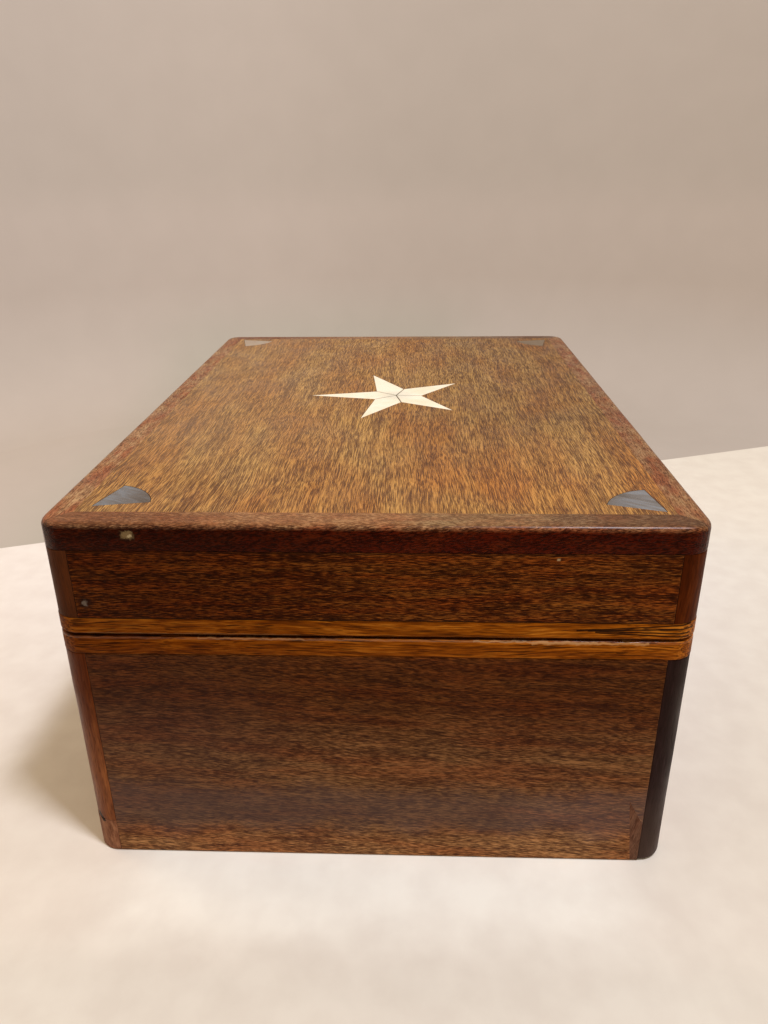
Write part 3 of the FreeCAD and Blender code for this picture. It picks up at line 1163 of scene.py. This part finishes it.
@dataclass(frozen=True)
class Lamp:
    """A square lamp that faces the box.

    Attributes:
        name: The lamp's name.
        place: Where it hangs, in metres.
        size: Length of its side, in metres.
        power: Its power in watts.
        code: Hex colour of its light.
        aim: The point that it faces, in metres.
    """

    name: str
    place: Triple
    size: float
    power: float
    code: str
    aim: Triple = (0.0, 0.0, 0.06)

    def hang(self) -> None:
        """Adds the lamp to the scene."""
        data = bpy.data.lights.new(self.name, "AREA")
        data.size = self.size
        data.energy = self.power
        data.color = linear(self.code)[:3]
        lamp = bpy.data.objects.new(self.name, data)
        lamp.location = self.place
        facing = Vector(self.aim) - Vector(self.place)
        lamp.rotation_euler = facing.to_track_quat("-Z", "Y").to_euler()
        bpy.context.scene.collection.objects.link(lamp)


@dataclass
class Studio:
    """Plain stage, soft light and the camera; lengths are in metres and angles in degrees.

    Attributes:
        camera_place: Where the camera stands.
        yaw: Its turn away from the box's length.
        pitch: How far it looks down.
        roll: How far it leans to the side.
        lens: Its focal length, mm.
        sensor: Width of its sensor, mm.
        nearest: How near it sees.
        floor_radius: Radius of the flat floor.
        cove: Radius of the bend from floor to wall.
        cove_steps: Faces across that bend.
        wall_height: Height of the wall.
        facets: Faces round the stage.
        drop: How far the floor lies below the box.
        line_start: A point of the straight line on the floor beyond which the stage is beige.
        line_end: Another point of that line.
        room_code: Hex colour of the even room light.
        room_strength: Strength of the room light.
        lamps: A small lamp high up at the front, and a weak window far at the back.
    """

    camera_place: Triple = (-0.3132, -0.0114, 0.2018)
    yaw: float = -2.336
    pitch: float = 23.634
    roll: float = -0.644
    lens: float = 28.15
    sensor: float = 36.0
    nearest: float = 0.01
    floor_radius: float = 0.40
    cove: float = 0.10
    cove_steps: int = 12
    wall_height: float = 0.9
    facets: int = 96
    drop: float = 0.0002
    line_start: Triple = (0.093, 0.227, 0.0)
    line_end: Triple = (0.277, -0.281, 0.0)
    room_code: str = "ffe9cc"
    room_strength: float = 0.56
    lamps: tuple[Lamp, ...] = (
        Lamp("ceiling_lamp", (-0.387, -0.358, 1.235), 0.16, 12.4, "f1f3ff"),
        Lamp("far_window", (0.1, 0.6, 0.6), 0.3, 1.1, "ffdcb2"),
    )

    def build(self) -> None:
        """Sets up stage, lights, camera and colour handling."""
        self.build_stage()
        self.build_lights()
        self.build_camera()
        bpy.context.scene.view_settings.view_transform = "Standard"

    def build_stage(self) -> None:
        """Builds a pale floor and a round beige wall; the beige begins at a straight line on the floor."""
        bend = [math.pi / 2 * step / self.cove_steps for step in range(self.cove_steps + 1)]
        cove = [(self.floor_radius + self.cove * math.sin(a), self.cove * (1 - math.cos(a))) for a in bend]
        floor = self.spun("floor", [(0.0, 0.0), (self.floor_radius, 0.0)])
        wall = self.spun("wall", cove + [(cove[-1][0], self.wall_height)])
        wall.visible_diffuse = False
        wall.visible_shadow = False

    def spun(self, name: str, profile: list[Pair]) -> bpy.types.Object:
        """Spins a profile into a stage object that is beige beyond the line.

        Args:
            name: The object's name.
            profile: Pairs of radius and height, in metres.

        Returns:
            The new object.
        """
        bm = bmesh.new()
        verts = [bm.verts.new((radius, 0.0, height - self.drop)) for radius, height in profile]
        edges = [bm.edges.new(pair) for pair in zip(verts, verts[1:])]
        bmesh.ops.spin(
            bm, geom=verts + edges, cent=(0, 0, 0), axis=(0, 0, 1), angle=math.tau, steps=self.facets,
            use_merge=True,
        )
        bmesh.ops.remove_doubles(bm, verts=bm.verts[:], dist=10 * TOUCH)
        start, end = Vector(self.line_start), Vector(self.line_end)
        beyond = Vector((start.y - end.y, end.x - start.x, 0.0)).normalized()
        saw(bm, start, beyond)
        bmesh.ops.recalc_face_normals(bm, faces=bm.faces[:])
        for face in bm.faces:
            face.material_index = int((face.calc_center_median() - start).dot(beyond) > 0)
        return to_object(bm, name, FLOOR, WALL)

    def build_lights(self) -> None:
        """Fills the room with even light and hangs the lamps."""
        world = bpy.data.worlds.new("room_light")
        world.use_nodes = True
        tree = world.node_tree
        tree.nodes.clear()
        sky = add(tree, "ShaderNodeBackground", {
            "Color": linear(self.room_code), "Strength": self.room_strength,
        })
        add(tree, "ShaderNodeOutputWorld", {"Surface": sky.outputs["Background"]})
        bpy.context.scene.world = world
        for lamp in self.lamps:
            lamp.hang()

    def build_camera(self) -> None:
        """Sets the camera up so that it looks along the box from its left end, a little down."""
        data = bpy.data.cameras.new("camera")
        data.lens = self.lens
        data.sensor_width = self.sensor
        data.clip_start = self.nearest
        camera = bpy.data.objects.new("camera", data)
        turn = Matrix.Rotation(math.radians(-90 - self.yaw), 4, "Z")
        tilt = Matrix.Rotation(math.radians(90 - self.pitch), 4, "X")
        lean = Matrix.Rotation(math.radians(self.roll), 4, "Z")
        camera.matrix_world = Matrix.Translation(self.camera_place) @ turn @ tilt @ lean
        bpy.context.scene.collection.objects.link(camera)
        bpy.context.scene.camera = camera


# Limits of a tint that has no border along an axis, mm
ALL = (-FAR, FAR)
# Heights of the box's joints and of its top, mm
BASE_RIM_FOOT = 74.4
MOUTH_LOW = 80.4
MOUTH_HIGH = 81.1
LID_WALL_FOOT = 86.1
EDGING_FOOT = 107.0
TOP = 115.0
# The left end's outer skin lies beyond the first X, and the outside of its lips beyond the second, mm
NEAR_SKIN = -121.0
NEAR_LIPS = -122.8
# The room inside the box with the skin of the wood around it, along X, Y and Z, mm
INSIDE = ((-114.6, 114.6), (-80.6, 80.6), (5.0, 109.0))
# Middle of the star; length, width and lowest height of the glue lines between its arms, mm
STAR_PLACE = (3.0, -4.0)
STAR_JOINT_LENGTH = 10.0
STAR_JOINT_WIDTH = 0.6
STAR_JOINT_FOOT = 100.0
# Ways of these lines from the star's middle, halfway between two arms, degrees
STAR_JOINT_ANGLES = (54.0, -17.2, -93.2, -167.8, 124.2)
# Middle of a mitre at a corner of the lid; length, width and lowest height of its glue line, mm
MITRE_PLACE = (120.0, 86.0)
MITRE_LENGTH = 11.2
MITRE_WIDTH = 0.3
MITRE_FOOT = 112.0


def patch(code: str, x: Pair = ALL, y: Pair = ALL, z: Pair = ALL, **looks: object) -> Tint:
    """A tint between limits along X, Y and Z in mm; the looks are the tint's other fields."""
    return Tint((x[0], y[0], z[0]), (x[1], y[1], z[1]), code, **looks)


def stain(code: str, **looks: object) -> Tint:
    """A patch that darkens what is below it."""
    return patch(code, blend=Blend.STAIN, **looks)


def bleach(code: str, **looks: object) -> Tint:
    """A patch that lightens what is below it."""
    return patch(code, blend=Blend.BLEACH, **looks)


def around(middle: float, size: float) -> Pair:
    """The limits of a patch with this middle and size."""
    return (middle - size / 2, middle + size / 2)


def near_spot(
    y: float, z: float, width: float, height: float, code: str, lean: float = 0.0, **looks: float
) -> Tint:
    """A small mark on the left end's outer face, around a place given in mm; lean tips it, in degrees."""
    turn = (lean, 0.0, 0.0)
    return patch(code, (-FAR, NEAR_SKIN), around(y, width), around(z, height), turn=turn, **looks)


def bare_inside(code: str) -> Tint:
    """Bare wood without polish, even in tone, on the faces that look into the box."""
    return patch(code, *INSIDE, strength=0.55, soft=0.2, ragged=0.0)


def darker_back(middle: float, soft: float, code: str) -> Tint:
    """Old polish that is thicker, and so darker, towards the back of the box."""
    return stain(code, y=(middle, FAR), soft=soft, ragged=3.0, grit=20.0)


def star_joint(angle: float) -> Tint:
    """The grey glue line between two arms of the star.

    Args:
        angle: The way it runs from the star's middle, degrees.

    Returns:
        The line's tint.
    """
    x = STAR_PLACE[0] + STAR_JOINT_LENGTH / 2 * math.cos(math.radians(angle))
    y = STAR_PLACE[1] + STAR_JOINT_LENGTH / 2 * math.sin(math.radians(angle))
    return patch(
        "8a7d66", around(x, STAR_JOINT_LENGTH), around(y, STAR_JOINT_WIDTH), (STAR_JOINT_FOOT, FAR),
        strength=0.75, soft=0.5, ragged=0.05, turn=(0.0, 0.0, angle),
    )


def mitre_line(side: int, row: int) -> Tint:
    """The dark glue line where two strips of edging meet.

    Args:
        side: The corner's end of the box, -1 for the left and 1 for the right.
        row: The corner's side of the box, -1 for the front and 1 for the back.

    Returns:
        The line's tint.
    """
    x, y = side * MITRE_PLACE[0], row * MITRE_PLACE[1]
    return patch(
        "301a10", around(x, MITRE_LENGTH), around(y, MITRE_WIDTH), (MITRE_FOOT, FAR),
        strength=0.6, soft=0.4, ragged=0.12, grit=3.0, turn=(0.0, 0.0, 45.0 * side * row),
    )


# The feet are rubbed pale, partly wear and partly painted bounce light from the floor; above them lies a band
# of painted grey sheen, greyer at the back; the upper part is darkened with painted shade, and its back is
# cooler in tone
RUBBED_AND_BOUNCE_LIT_FOOT = bleach("cdc9c7", z=(-FAR, 9.0), soft=12.0, ragged=1.8, grit=8.0)
GREY_SHEEN_BAND = patch("4f413f", z=(11.0, 27.0), strength=0.5, soft=9.0, ragged=3.0, grit=12.0)
RUBBED_FRONT = bleach("dedad6", y=(-FAR, -44.0), z=(8.0, 24.0), soft=16.0, ragged=3.0, grit=12.0)
# Painted shade that darkens the upper part of the walls and the posts
SHADED_UPPER_PART = stain("bca07c", z=(48.0, FAR), soft=30.0, ragged=3.0, grit=14.0)
COOLER_UPPER_BACK = stain("ebeeff", y=(35.0, FAR), z=(46.0, FAR), soft=40.0, soft_z=24.0, ragged=3.0, grit=14.0)
GREY_SHEEN_BACK = patch("3c2a28", y=(30.0, FAR), z=(24.0, 54.0), strength=0.45, soft=60.0, ragged=3.0, grit=14.0)
# Inside, the wood was never polished
BARE_WALL = bare_inside("9a7044")
BARE_RIM = bare_inside("a8743c")
# The joints have filled with dark polish, the outer lips of the mouth are darkened with painted shade, and
# the lips of the mouth are burnished by hands
LID_RIM_JOINT = patch("2e1305", z=(LID_WALL_FOOT - 0.1, FAR), strength=0.6, ragged=0.25, grit=4.0)
BASE_RIM_JOINT = patch(
    "2e1305", z=(-FAR, BASE_RIM_FOOT + 0.2), strength=0.85, soft=0.6, ragged=0.25, grit=4.0,
)
EDGING_JOINT = patch(
    "1c0d06", z=(EDGING_FOOT - 0.5, EDGING_FOOT), strength=0.7, soft=0.7, ragged=0.15, grit=4.0,
)
LID_WALL_JOINT = patch(
    "1c0e06", z=(-FAR, LID_WALL_FOOT + 0.4), strength=0.85, soft=0.4, ragged=0.4, grit=4.0,
)
# Painted shade on the outer lips of the mouth, where the gap between lid and base lies in shade
SHADED_MOUTH_LIPS = patch(
    "1e0c04", x=(-FAR, NEAR_LIPS), z=(MOUTH_LOW - 0.15, MOUTH_HIGH + 0.25),
    strength=0.9, soft=0.2, ragged=0.05, grit=5.0,
)
RIM_TINTS = (BARE_RIM, darker_back(5.0, 150.0, "b8aca0"), LID_RIM_JOINT, BASE_RIM_JOINT, SHADED_MOUTH_LIPS)
RIM_LIPS = patch(
    "ffffff", z=(MOUTH_LOW - 0.8, MOUTH_LOW - 0.25), strength=0.7, soft=0.35, ragged=0.1, grit=1.5,
)
# Below its rounded edge the edging keeps its dark red polish, and the round itself is burnished
EDGING_FACE = stain("6a3420", z=(-FAR, TOP - 0.8), soft=2.4, ragged=0.15, turn=(0.1, 0.0, 0.0))
EDGING_FRONT = stain("c4b8b4", y=(-FAR, -66.0), z=(TOP - 0.4, FAR), soft=30.0, ragged=3.0, grit=12.0)
EDGING_BACK = stain("c0ccd4", y=(15.0, FAR), z=(-FAR, TOP - 0.8), soft=80.0, soft_z=1.6, ragged=0.1)
WAXED_TOP = patch("8e6644", z=(TOP - 0.5, FAR), strength=0.5, soft=0.8, ragged=0.1, grit=3.0)
EDGING_ROUND = patch("ffffff", z=(TOP - 1.4, TOP - 0.1), strength=0.25, soft=0.8, ragged=0.3, grit=1.6)
# The top of the strips across the box differs in tone along its length
EDGING_TOP: dict[str, object] = {"z": (TOP - 0.6, FAR), "soft_z": 0.8, "ragged": 0.1}
EDGING_TOP_TINTS = (
    stain("dfd0cb", y=(45.0, FAR), soft=36.0, **EDGING_TOP),
    stain("e6f8ff", y=(-FAR, -12.0), soft=14.0, **EDGING_TOP),
    stain("d7ced3", y=(-FAR, -47.0), soft=10.0, **EDGING_TOP),
)
MITRES = tuple(mitre_line(side, row) for side in (-1, 1) for row in (-1, 1))
EDGING_TINTS = (EDGING_FRONT, *MITRES)
# A hole in the left end's edging, filled with putty: its dark rim, the putty and a light crumb
FILLED_HOLE = (
    near_spot(64.7, 111.8, 4.2, 3.2, "1c0a05", soft=1.4, ragged=0.5, grit=1.2),
    near_spot(64.7, 111.8, 3.0, 2.0, "7a6645", strength=0.85, soft=1.0, ragged=0.6, grit=0.9),
    near_spot(64.0, 111.6, 1.0, 0.8, "ab9a76", soft=0.6, ragged=0.4, grit=0.7),
)
# A dent with a grey middle and a light nick in the lid's left end wall
WALL_DENTS = (
    near_spot(79.2, 91.0, 3.4, 3.2, "1e0e08", strength=0.8, soft=2.0, ragged=0.4, grit=1.0),
    near_spot(79.2, 91.0, 1.2, 1.6, "6f645a", strength=0.7, soft=0.6, ragged=0.5, grit=0.8),
    near_spot(-49.5, 105.5, 0.8, 0.6, "a08a68", soft=0.4, ragged=0.2, grit=0.8),
)
# The base rim's lips are rubbed bare in stretches and carry painted highlights there, the lid rim's lip
# carries a painted highlight, and fine cracks fan out at the lid rim's front end
RUBBED_AND_HIGHLIT_LIPS = (
    near_spot(0.0, 79.9, 60.0, 0.3, "8a6040", strength=0.5, soft=0.4, ragged=0.3, grit=2.5),
    near_spot(34.0, 80.0, 30.0, 0.35, "a07448", strength=0.5, soft=0.4, ragged=0.3, grit=2.5),
    near_spot(-60.0, 79.6, 32.0, 0.7, "c08c54", strength=0.7, soft=0.5, ragged=0.35, grit=2.5),
    near_spot(-45.0, 79.9, 34.0, 0.4, "b08a64", strength=0.6, soft=0.4, ragged=0.35, grit=2.5),
)
# A painted highlight along the lid rim's lower lip
LID_LIP_HIGHLIGHT = near_spot(50.0, 81.5, 60.0, 0.4, "7e5832", strength=0.5, soft=0.4, ragged=0.3, grit=2.5)
RIM_CRACKS = tuple(
    near_spot(y, z, length, width, "1c0c04", lean, soft=0.3, ragged=0.2, grit=8.0)
    for y, z, length, width, lean in (
        (-72.0, 84.9, 30.0, 0.42, -3.7),
        (-72.0, 84.2, 32.0, 0.45, -1.2),
        (-73.0, 83.4, 28.0, 0.42, 1.4),
        (-74.0, 82.6, 26.0, 0.42, 3.0),
    )
)
# The back left post is chipped at its repair, the lid's back posts are dull and the black foot is rubbed
CHIP = near_spot(87.0, 12.6, 1.3, 3.4, "0e0604", lean=-35.0, soft=0.4, ragged=0.2, grit=1.0)
DULL_BACK = patch("48301f", y=(40.0, FAR), strength=0.4, soft=20.0)
RUBBED_BLACK_FOOT = patch("5c4a40", z=(-FAR, 20.0), strength=0.35, soft=30.0, ragged=2.0, grit=6.0)
# The panel carries a painted grey sheen to the right at the back and painted shade to the right at the front,
# and its varnish has yellowed at the front left corner
PANEL_TINTS = (
    patch("a8906c", x=(-70.0, FAR), y=(30.0, FAR), strength=0.18, soft=60.0, ragged=3.0, grit=14.0),
    stain("e2e2e2", x=(-60.0, FAR), y=(-FAR, -20.0), soft=60.0, ragged=3.0, grit=14.0),
    stain("fff6e8", x=(-FAR, -85.0), y=(-FAR, -15.0), soft=30.0, ragged=3.0, grit=9.0),
)
# The star's middle is greyed with painted shade, with glue in its joints and round its sides; the shell
# darkens inwards
STAR_MIDDLE_SHADE = patch(
    "c6cbc2", around(STAR_PLACE[0], STAR_JOINT_LENGTH), around(STAR_PLACE[1], STAR_JOINT_LENGTH),
    (STAR_JOINT_FOOT, FAR), strength=0.4, soft=8.0, ragged=1.0, grit=4.0,
)
STAR_SIDES = patch("5a4a34", z=(-FAR, TOP - 0.25), strength=0.9, soft=0.15, ragged=0.0)
STAR_JOINTS = tuple(star_joint(angle) for angle in STAR_JOINT_ANGLES)
SHELL_BACK = stain("eeeeee", y=(40.0, FAR), soft=20.0, ragged=0.0)
SHELL_CROWN = stain("c8b8aa", y=(-69.0, 69.0), soft=14.0, ragged=1.0)
# The stage carries painted light and shade: the floor is lighter towards the box's right end and has painted
# light just off its left end, where the box shades it, and is darker far out at the front and beyond the left
# end
FLOOR_TINTS = (
    bleach("ebe7de", x=(-20.0, FAR), soft=220.0, ragged=4.0, grit=30.0),
    stain("f5f4ec", y=(-FAR, -150.0), soft=160.0, ragged=4.0, grit=30.0),
    bleach("ece7e5", x=(-152.0, -110.0), y=(-76.0, 76.0), soft=26.0, ragged=4.0, grit=18.0),
    stain("f8fafa", x=(-FAR, -158.0), soft=30.0, ragged=4.0, grit=18.0),
)
# The wall has painted light towards the back and in a band above the cove, and painted shade at its foot
STAGE_WALL_TINTS = (
    bleach("f4f4f3", y=(60.0, FAR), soft=220.0, ragged=0.0),
    bleach("f6f7f6", z=(75.0, 175.0), soft=50.0, ragged=0.0),
    stain("eef4ef", y=(-60.0, 220.0), z=(-FAR, 60.0), soft=90.0, ragged=0.0),
)

PANEL_WOOD = Wood(
    "varnished_open_grained_panel", Grain.ALONG_X, "623d18", "956b34", "c29550", "482c11",
    figure_mm=(5.0, 18.0), band_mm=(1.5, 60.0), fibre_mm=(0.26, 6.0), pore_mm=(0.26, 9.0),
    weights=(0.5, 1.0, 2.8), pore_cut=0.52, pore_depth=0.7, blush="f2d8ba", bend_mm=3.0,
    roughness=0.42, specular=0.33, varnish=0.06, tints=PANEL_TINTS,
)
EDGING_END = Wood(
    "polished_dark_edging_across", Grain.ALONG_Y, "5a3218", "96683e", "cc9e6c", "341c10",
    figure_mm=(2.4, 5.0), fibre_mm=(0.3, 1.6), pore_mm=(0.3, 1.6), weights=(1.2, 0.6, 3.2), pore_depth=0.7,
    blush="e8b8a4", blush_mm=(4.0, 12.0), tilt=(-6.0, 0.0, 0.0), roughness=0.36, specular=0.16,
    gleam="d07850", varnish_roughness=0.26, relief_mm=0.08, burnish=EDGING_ROUND,
    tints=(WAXED_TOP, EDGING_FACE, *EDGING_TINTS, EDGING_BACK, *EDGING_TOP_TINTS, *FILLED_HOLE),
)
EDGING_LONG = replace(
    EDGING_END, name="polished_dark_edging_along", grain=Grain.ALONG_X,
    dark="6e4628", middle="a0774d", light="c09c6f",
    fibre_mm=(0.36, 4.0), weights=(0.8, 0.6, 1.4), relief_mm=0.04, tilt=(0.0, 0.0, 0.0),
    tints=(replace(EDGING_FACE, turn=(0.0, 0.0, 0.0)), *EDGING_TINTS),
)
LID_WALL_END = Wood(
    "polished_dark_wall_across", Grain.ALONG_Y, "260f03", "4a2209", "88501c", "140702",
    fibre_mm=(0.2, 2.8), pore_mm=(0.22, 3.0), weights=(0.3, 0.8, 2.6),
    blush="fcdccc", blush_mm=(3.0, 30.0), bend_mm=2.0, specular=0.14, gleam="b05c28",
    tints=(BARE_WALL, darker_back(15.0, 110.0, "c4b4a8"), EDGING_JOINT, LID_WALL_JOINT, *WALL_DENTS),
)
LID_WALL_LONG = replace(
    LID_WALL_END, name="polished_dark_wall_along", grain=Grain.ALONG_X,
    tints=(BARE_WALL, EDGING_JOINT, LID_WALL_JOINT),
)
LID_POST = Wood(
    "polished_red_post", Grain.UPRIGHT, "341304", "461b05", "5c2a0c", "220d04",
    weights=(0.8, 0.6, 0.8), pore_depth=0.4, roughness=0.42, specular=0.04, gleam="b05c28",
    tints=(DULL_BACK,),
)
RIM_END = Wood(
    "polished_honey_rim_across", Grain.ALONG_Y, "582803", "8c4806", "b66c1c", "2c1202",
    band_mm=(1.0, 50.0), fibre_mm=(0.4, 8.0), pore_mm=(0.36, 9.0), weights=(0.7, 1.1, 1.4), pore_cut=0.55,
    pore_depth=0.8, specular=0.12, gleam="c07030", varnish_roughness=0.22, burnish=RIM_LIPS,
    tints=(*RIM_TINTS, *RUBBED_AND_HIGHLIT_LIPS),
)
LID_RIM_END = replace(
    RIM_END, name="polished_pale_honey_rim_across", dark="633004", middle="934e07", light="bc7420",
    tints=(*RIM_TINTS, *RIM_CRACKS, LID_LIP_HIGHLIGHT),
)
RIM_LONG = replace(RIM_END, name="polished_honey_rim_along", grain=Grain.ALONG_X, tints=RIM_TINTS)
BASE_WALL_END = Wood(
    "worn_brown_wall_across", Grain.ALONG_Y, "402414", "664427", "90653e", "29160b",
    figure_mm=(2.6, 7.0), band_mm=(1.6, 34.0), fibre_mm=(0.27, 2.8), pore_mm=(0.28, 3.0),
    weights=(0.5, 0.85, 2.3), blush="fce2d6", blush_mm=(5.0, 40.0), pore_cut=0.53, pore_depth=0.6,
    tilt=(3.0, 0.0, 0.0), specular=0.18, gleam="b06838",
    tints=(SHADED_UPPER_PART, COOLER_UPPER_BACK, GREY_SHEEN_BACK, GREY_SHEEN_BAND, RUBBED_FRONT, RUBBED_AND_BOUNCE_LIT_FOOT, BARE_WALL),
)
BASE_WALL_LONG = replace(
    BASE_WALL_END, name="worn_brown_wall_along", grain=Grain.ALONG_X, tilt=(0.0, 3.0, 0.0),
)
SLIVER_WOOD = replace(
    BASE_WALL_END, name="waxed_sliver", grain=Grain.UPRIGHT, dark="4a3022", middle="644636", light="7c5c48",
    figure_mm=(1.6, 2.4), weights=(0.6, 0.4, 0.8), pore_depth=0.4, tilt=(14.0, 0.0, 0.0), tints=(),
)
BASE_POST = Wood(
    "polished_brown_post", Grain.UPRIGHT, "5e3018", "754224", "8e562e", "35190c",
    weights=(0.8, 0.6, 0.8), pore_depth=0.4, roughness=0.38, specular=0.14, gleam="c07848",
    tints=(SHADED_UPPER_PART, CHIP),
)
EBONISED = Wood(
    "blackened_polished_post", Grain.UPRIGHT, "180b08", "221311", "302020", "0e0706",
    weights=(0.8, 0.6, 0.8), pore_depth=0.4, roughness=0.45, specular=0.14, gleam="a07060",
    tints=(RUBBED_BLACK_FOOT,),
)
PATCH_WOOD = Wood(
    "waxed_repair", Grain.UPRIGHT, "6a402a", "80533a", "96684a", "48281a",
    figure_mm=(2.0, 3.0), weights=(1.4, 0.6, 0.8), pore_depth=0.5, specular=0.25, gleam="c07848",
    tints=(CHIP,),
)
BOTTOM_WOOD = Wood(
    "bare_sawn_board", Grain.ALONG_X, "6b4a2c", "8f6a44", "ab875c", "4a321c", roughness=0.7, specular=0.2,
)
BONE = Bone(tints=(STAR_MIDDLE_SHADE, *STAR_JOINTS, STAR_SIDES))
PEARL = Pearl(
    "polished_mother_of_pearl", "656361", "7b7978", "878e96", "988e87", tints=(SHELL_CROWN, SHELL_BACK),
)
# Copies of the shell for the fans at the right end, carrying painted reflections: a painted bright reflection
# at the back and a painted warm reflection at the front
PEARL_PAINTED_BRIGHT_REFLECTION = Pearl("polished_bright_mother_of_pearl", "94826e", "b49e86", "b6ac9c", "d0b898")
PEARL_PAINTED_WARM_REFLECTION = Pearl("polished_brown_mother_of_pearl", "5c4b36", "725b40", "7a6950", "8a7150")
BRASS = AgedBrass()
FLOOR = Plaster("pale_floor", "ded5c8", "e4dccf", 12.0, 0.5, tints=FLOOR_TINTS)
WALL = Plaster("beige_wall", "b9b0a7", "bbb2a9", 30.0, 0.8, tints=STAGE_WALL_TINTS)


def main() -> None:
    """Builds the box's looks in order."""
    logging.basicConfig(level=logging.INFO, format="%(name)s: %(message)s")
    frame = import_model()
    far_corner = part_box("base_right_rim")[1]
    outline = Outline(far_corner.x, far_corner.y)
    nodes = frame["nodes"]
    Base(outline).build(nodes)
    Lid(outline).build(nodes)
    Hinges().build(nodes)
    Studio().build()


if __name__ == "__main__":
    main()
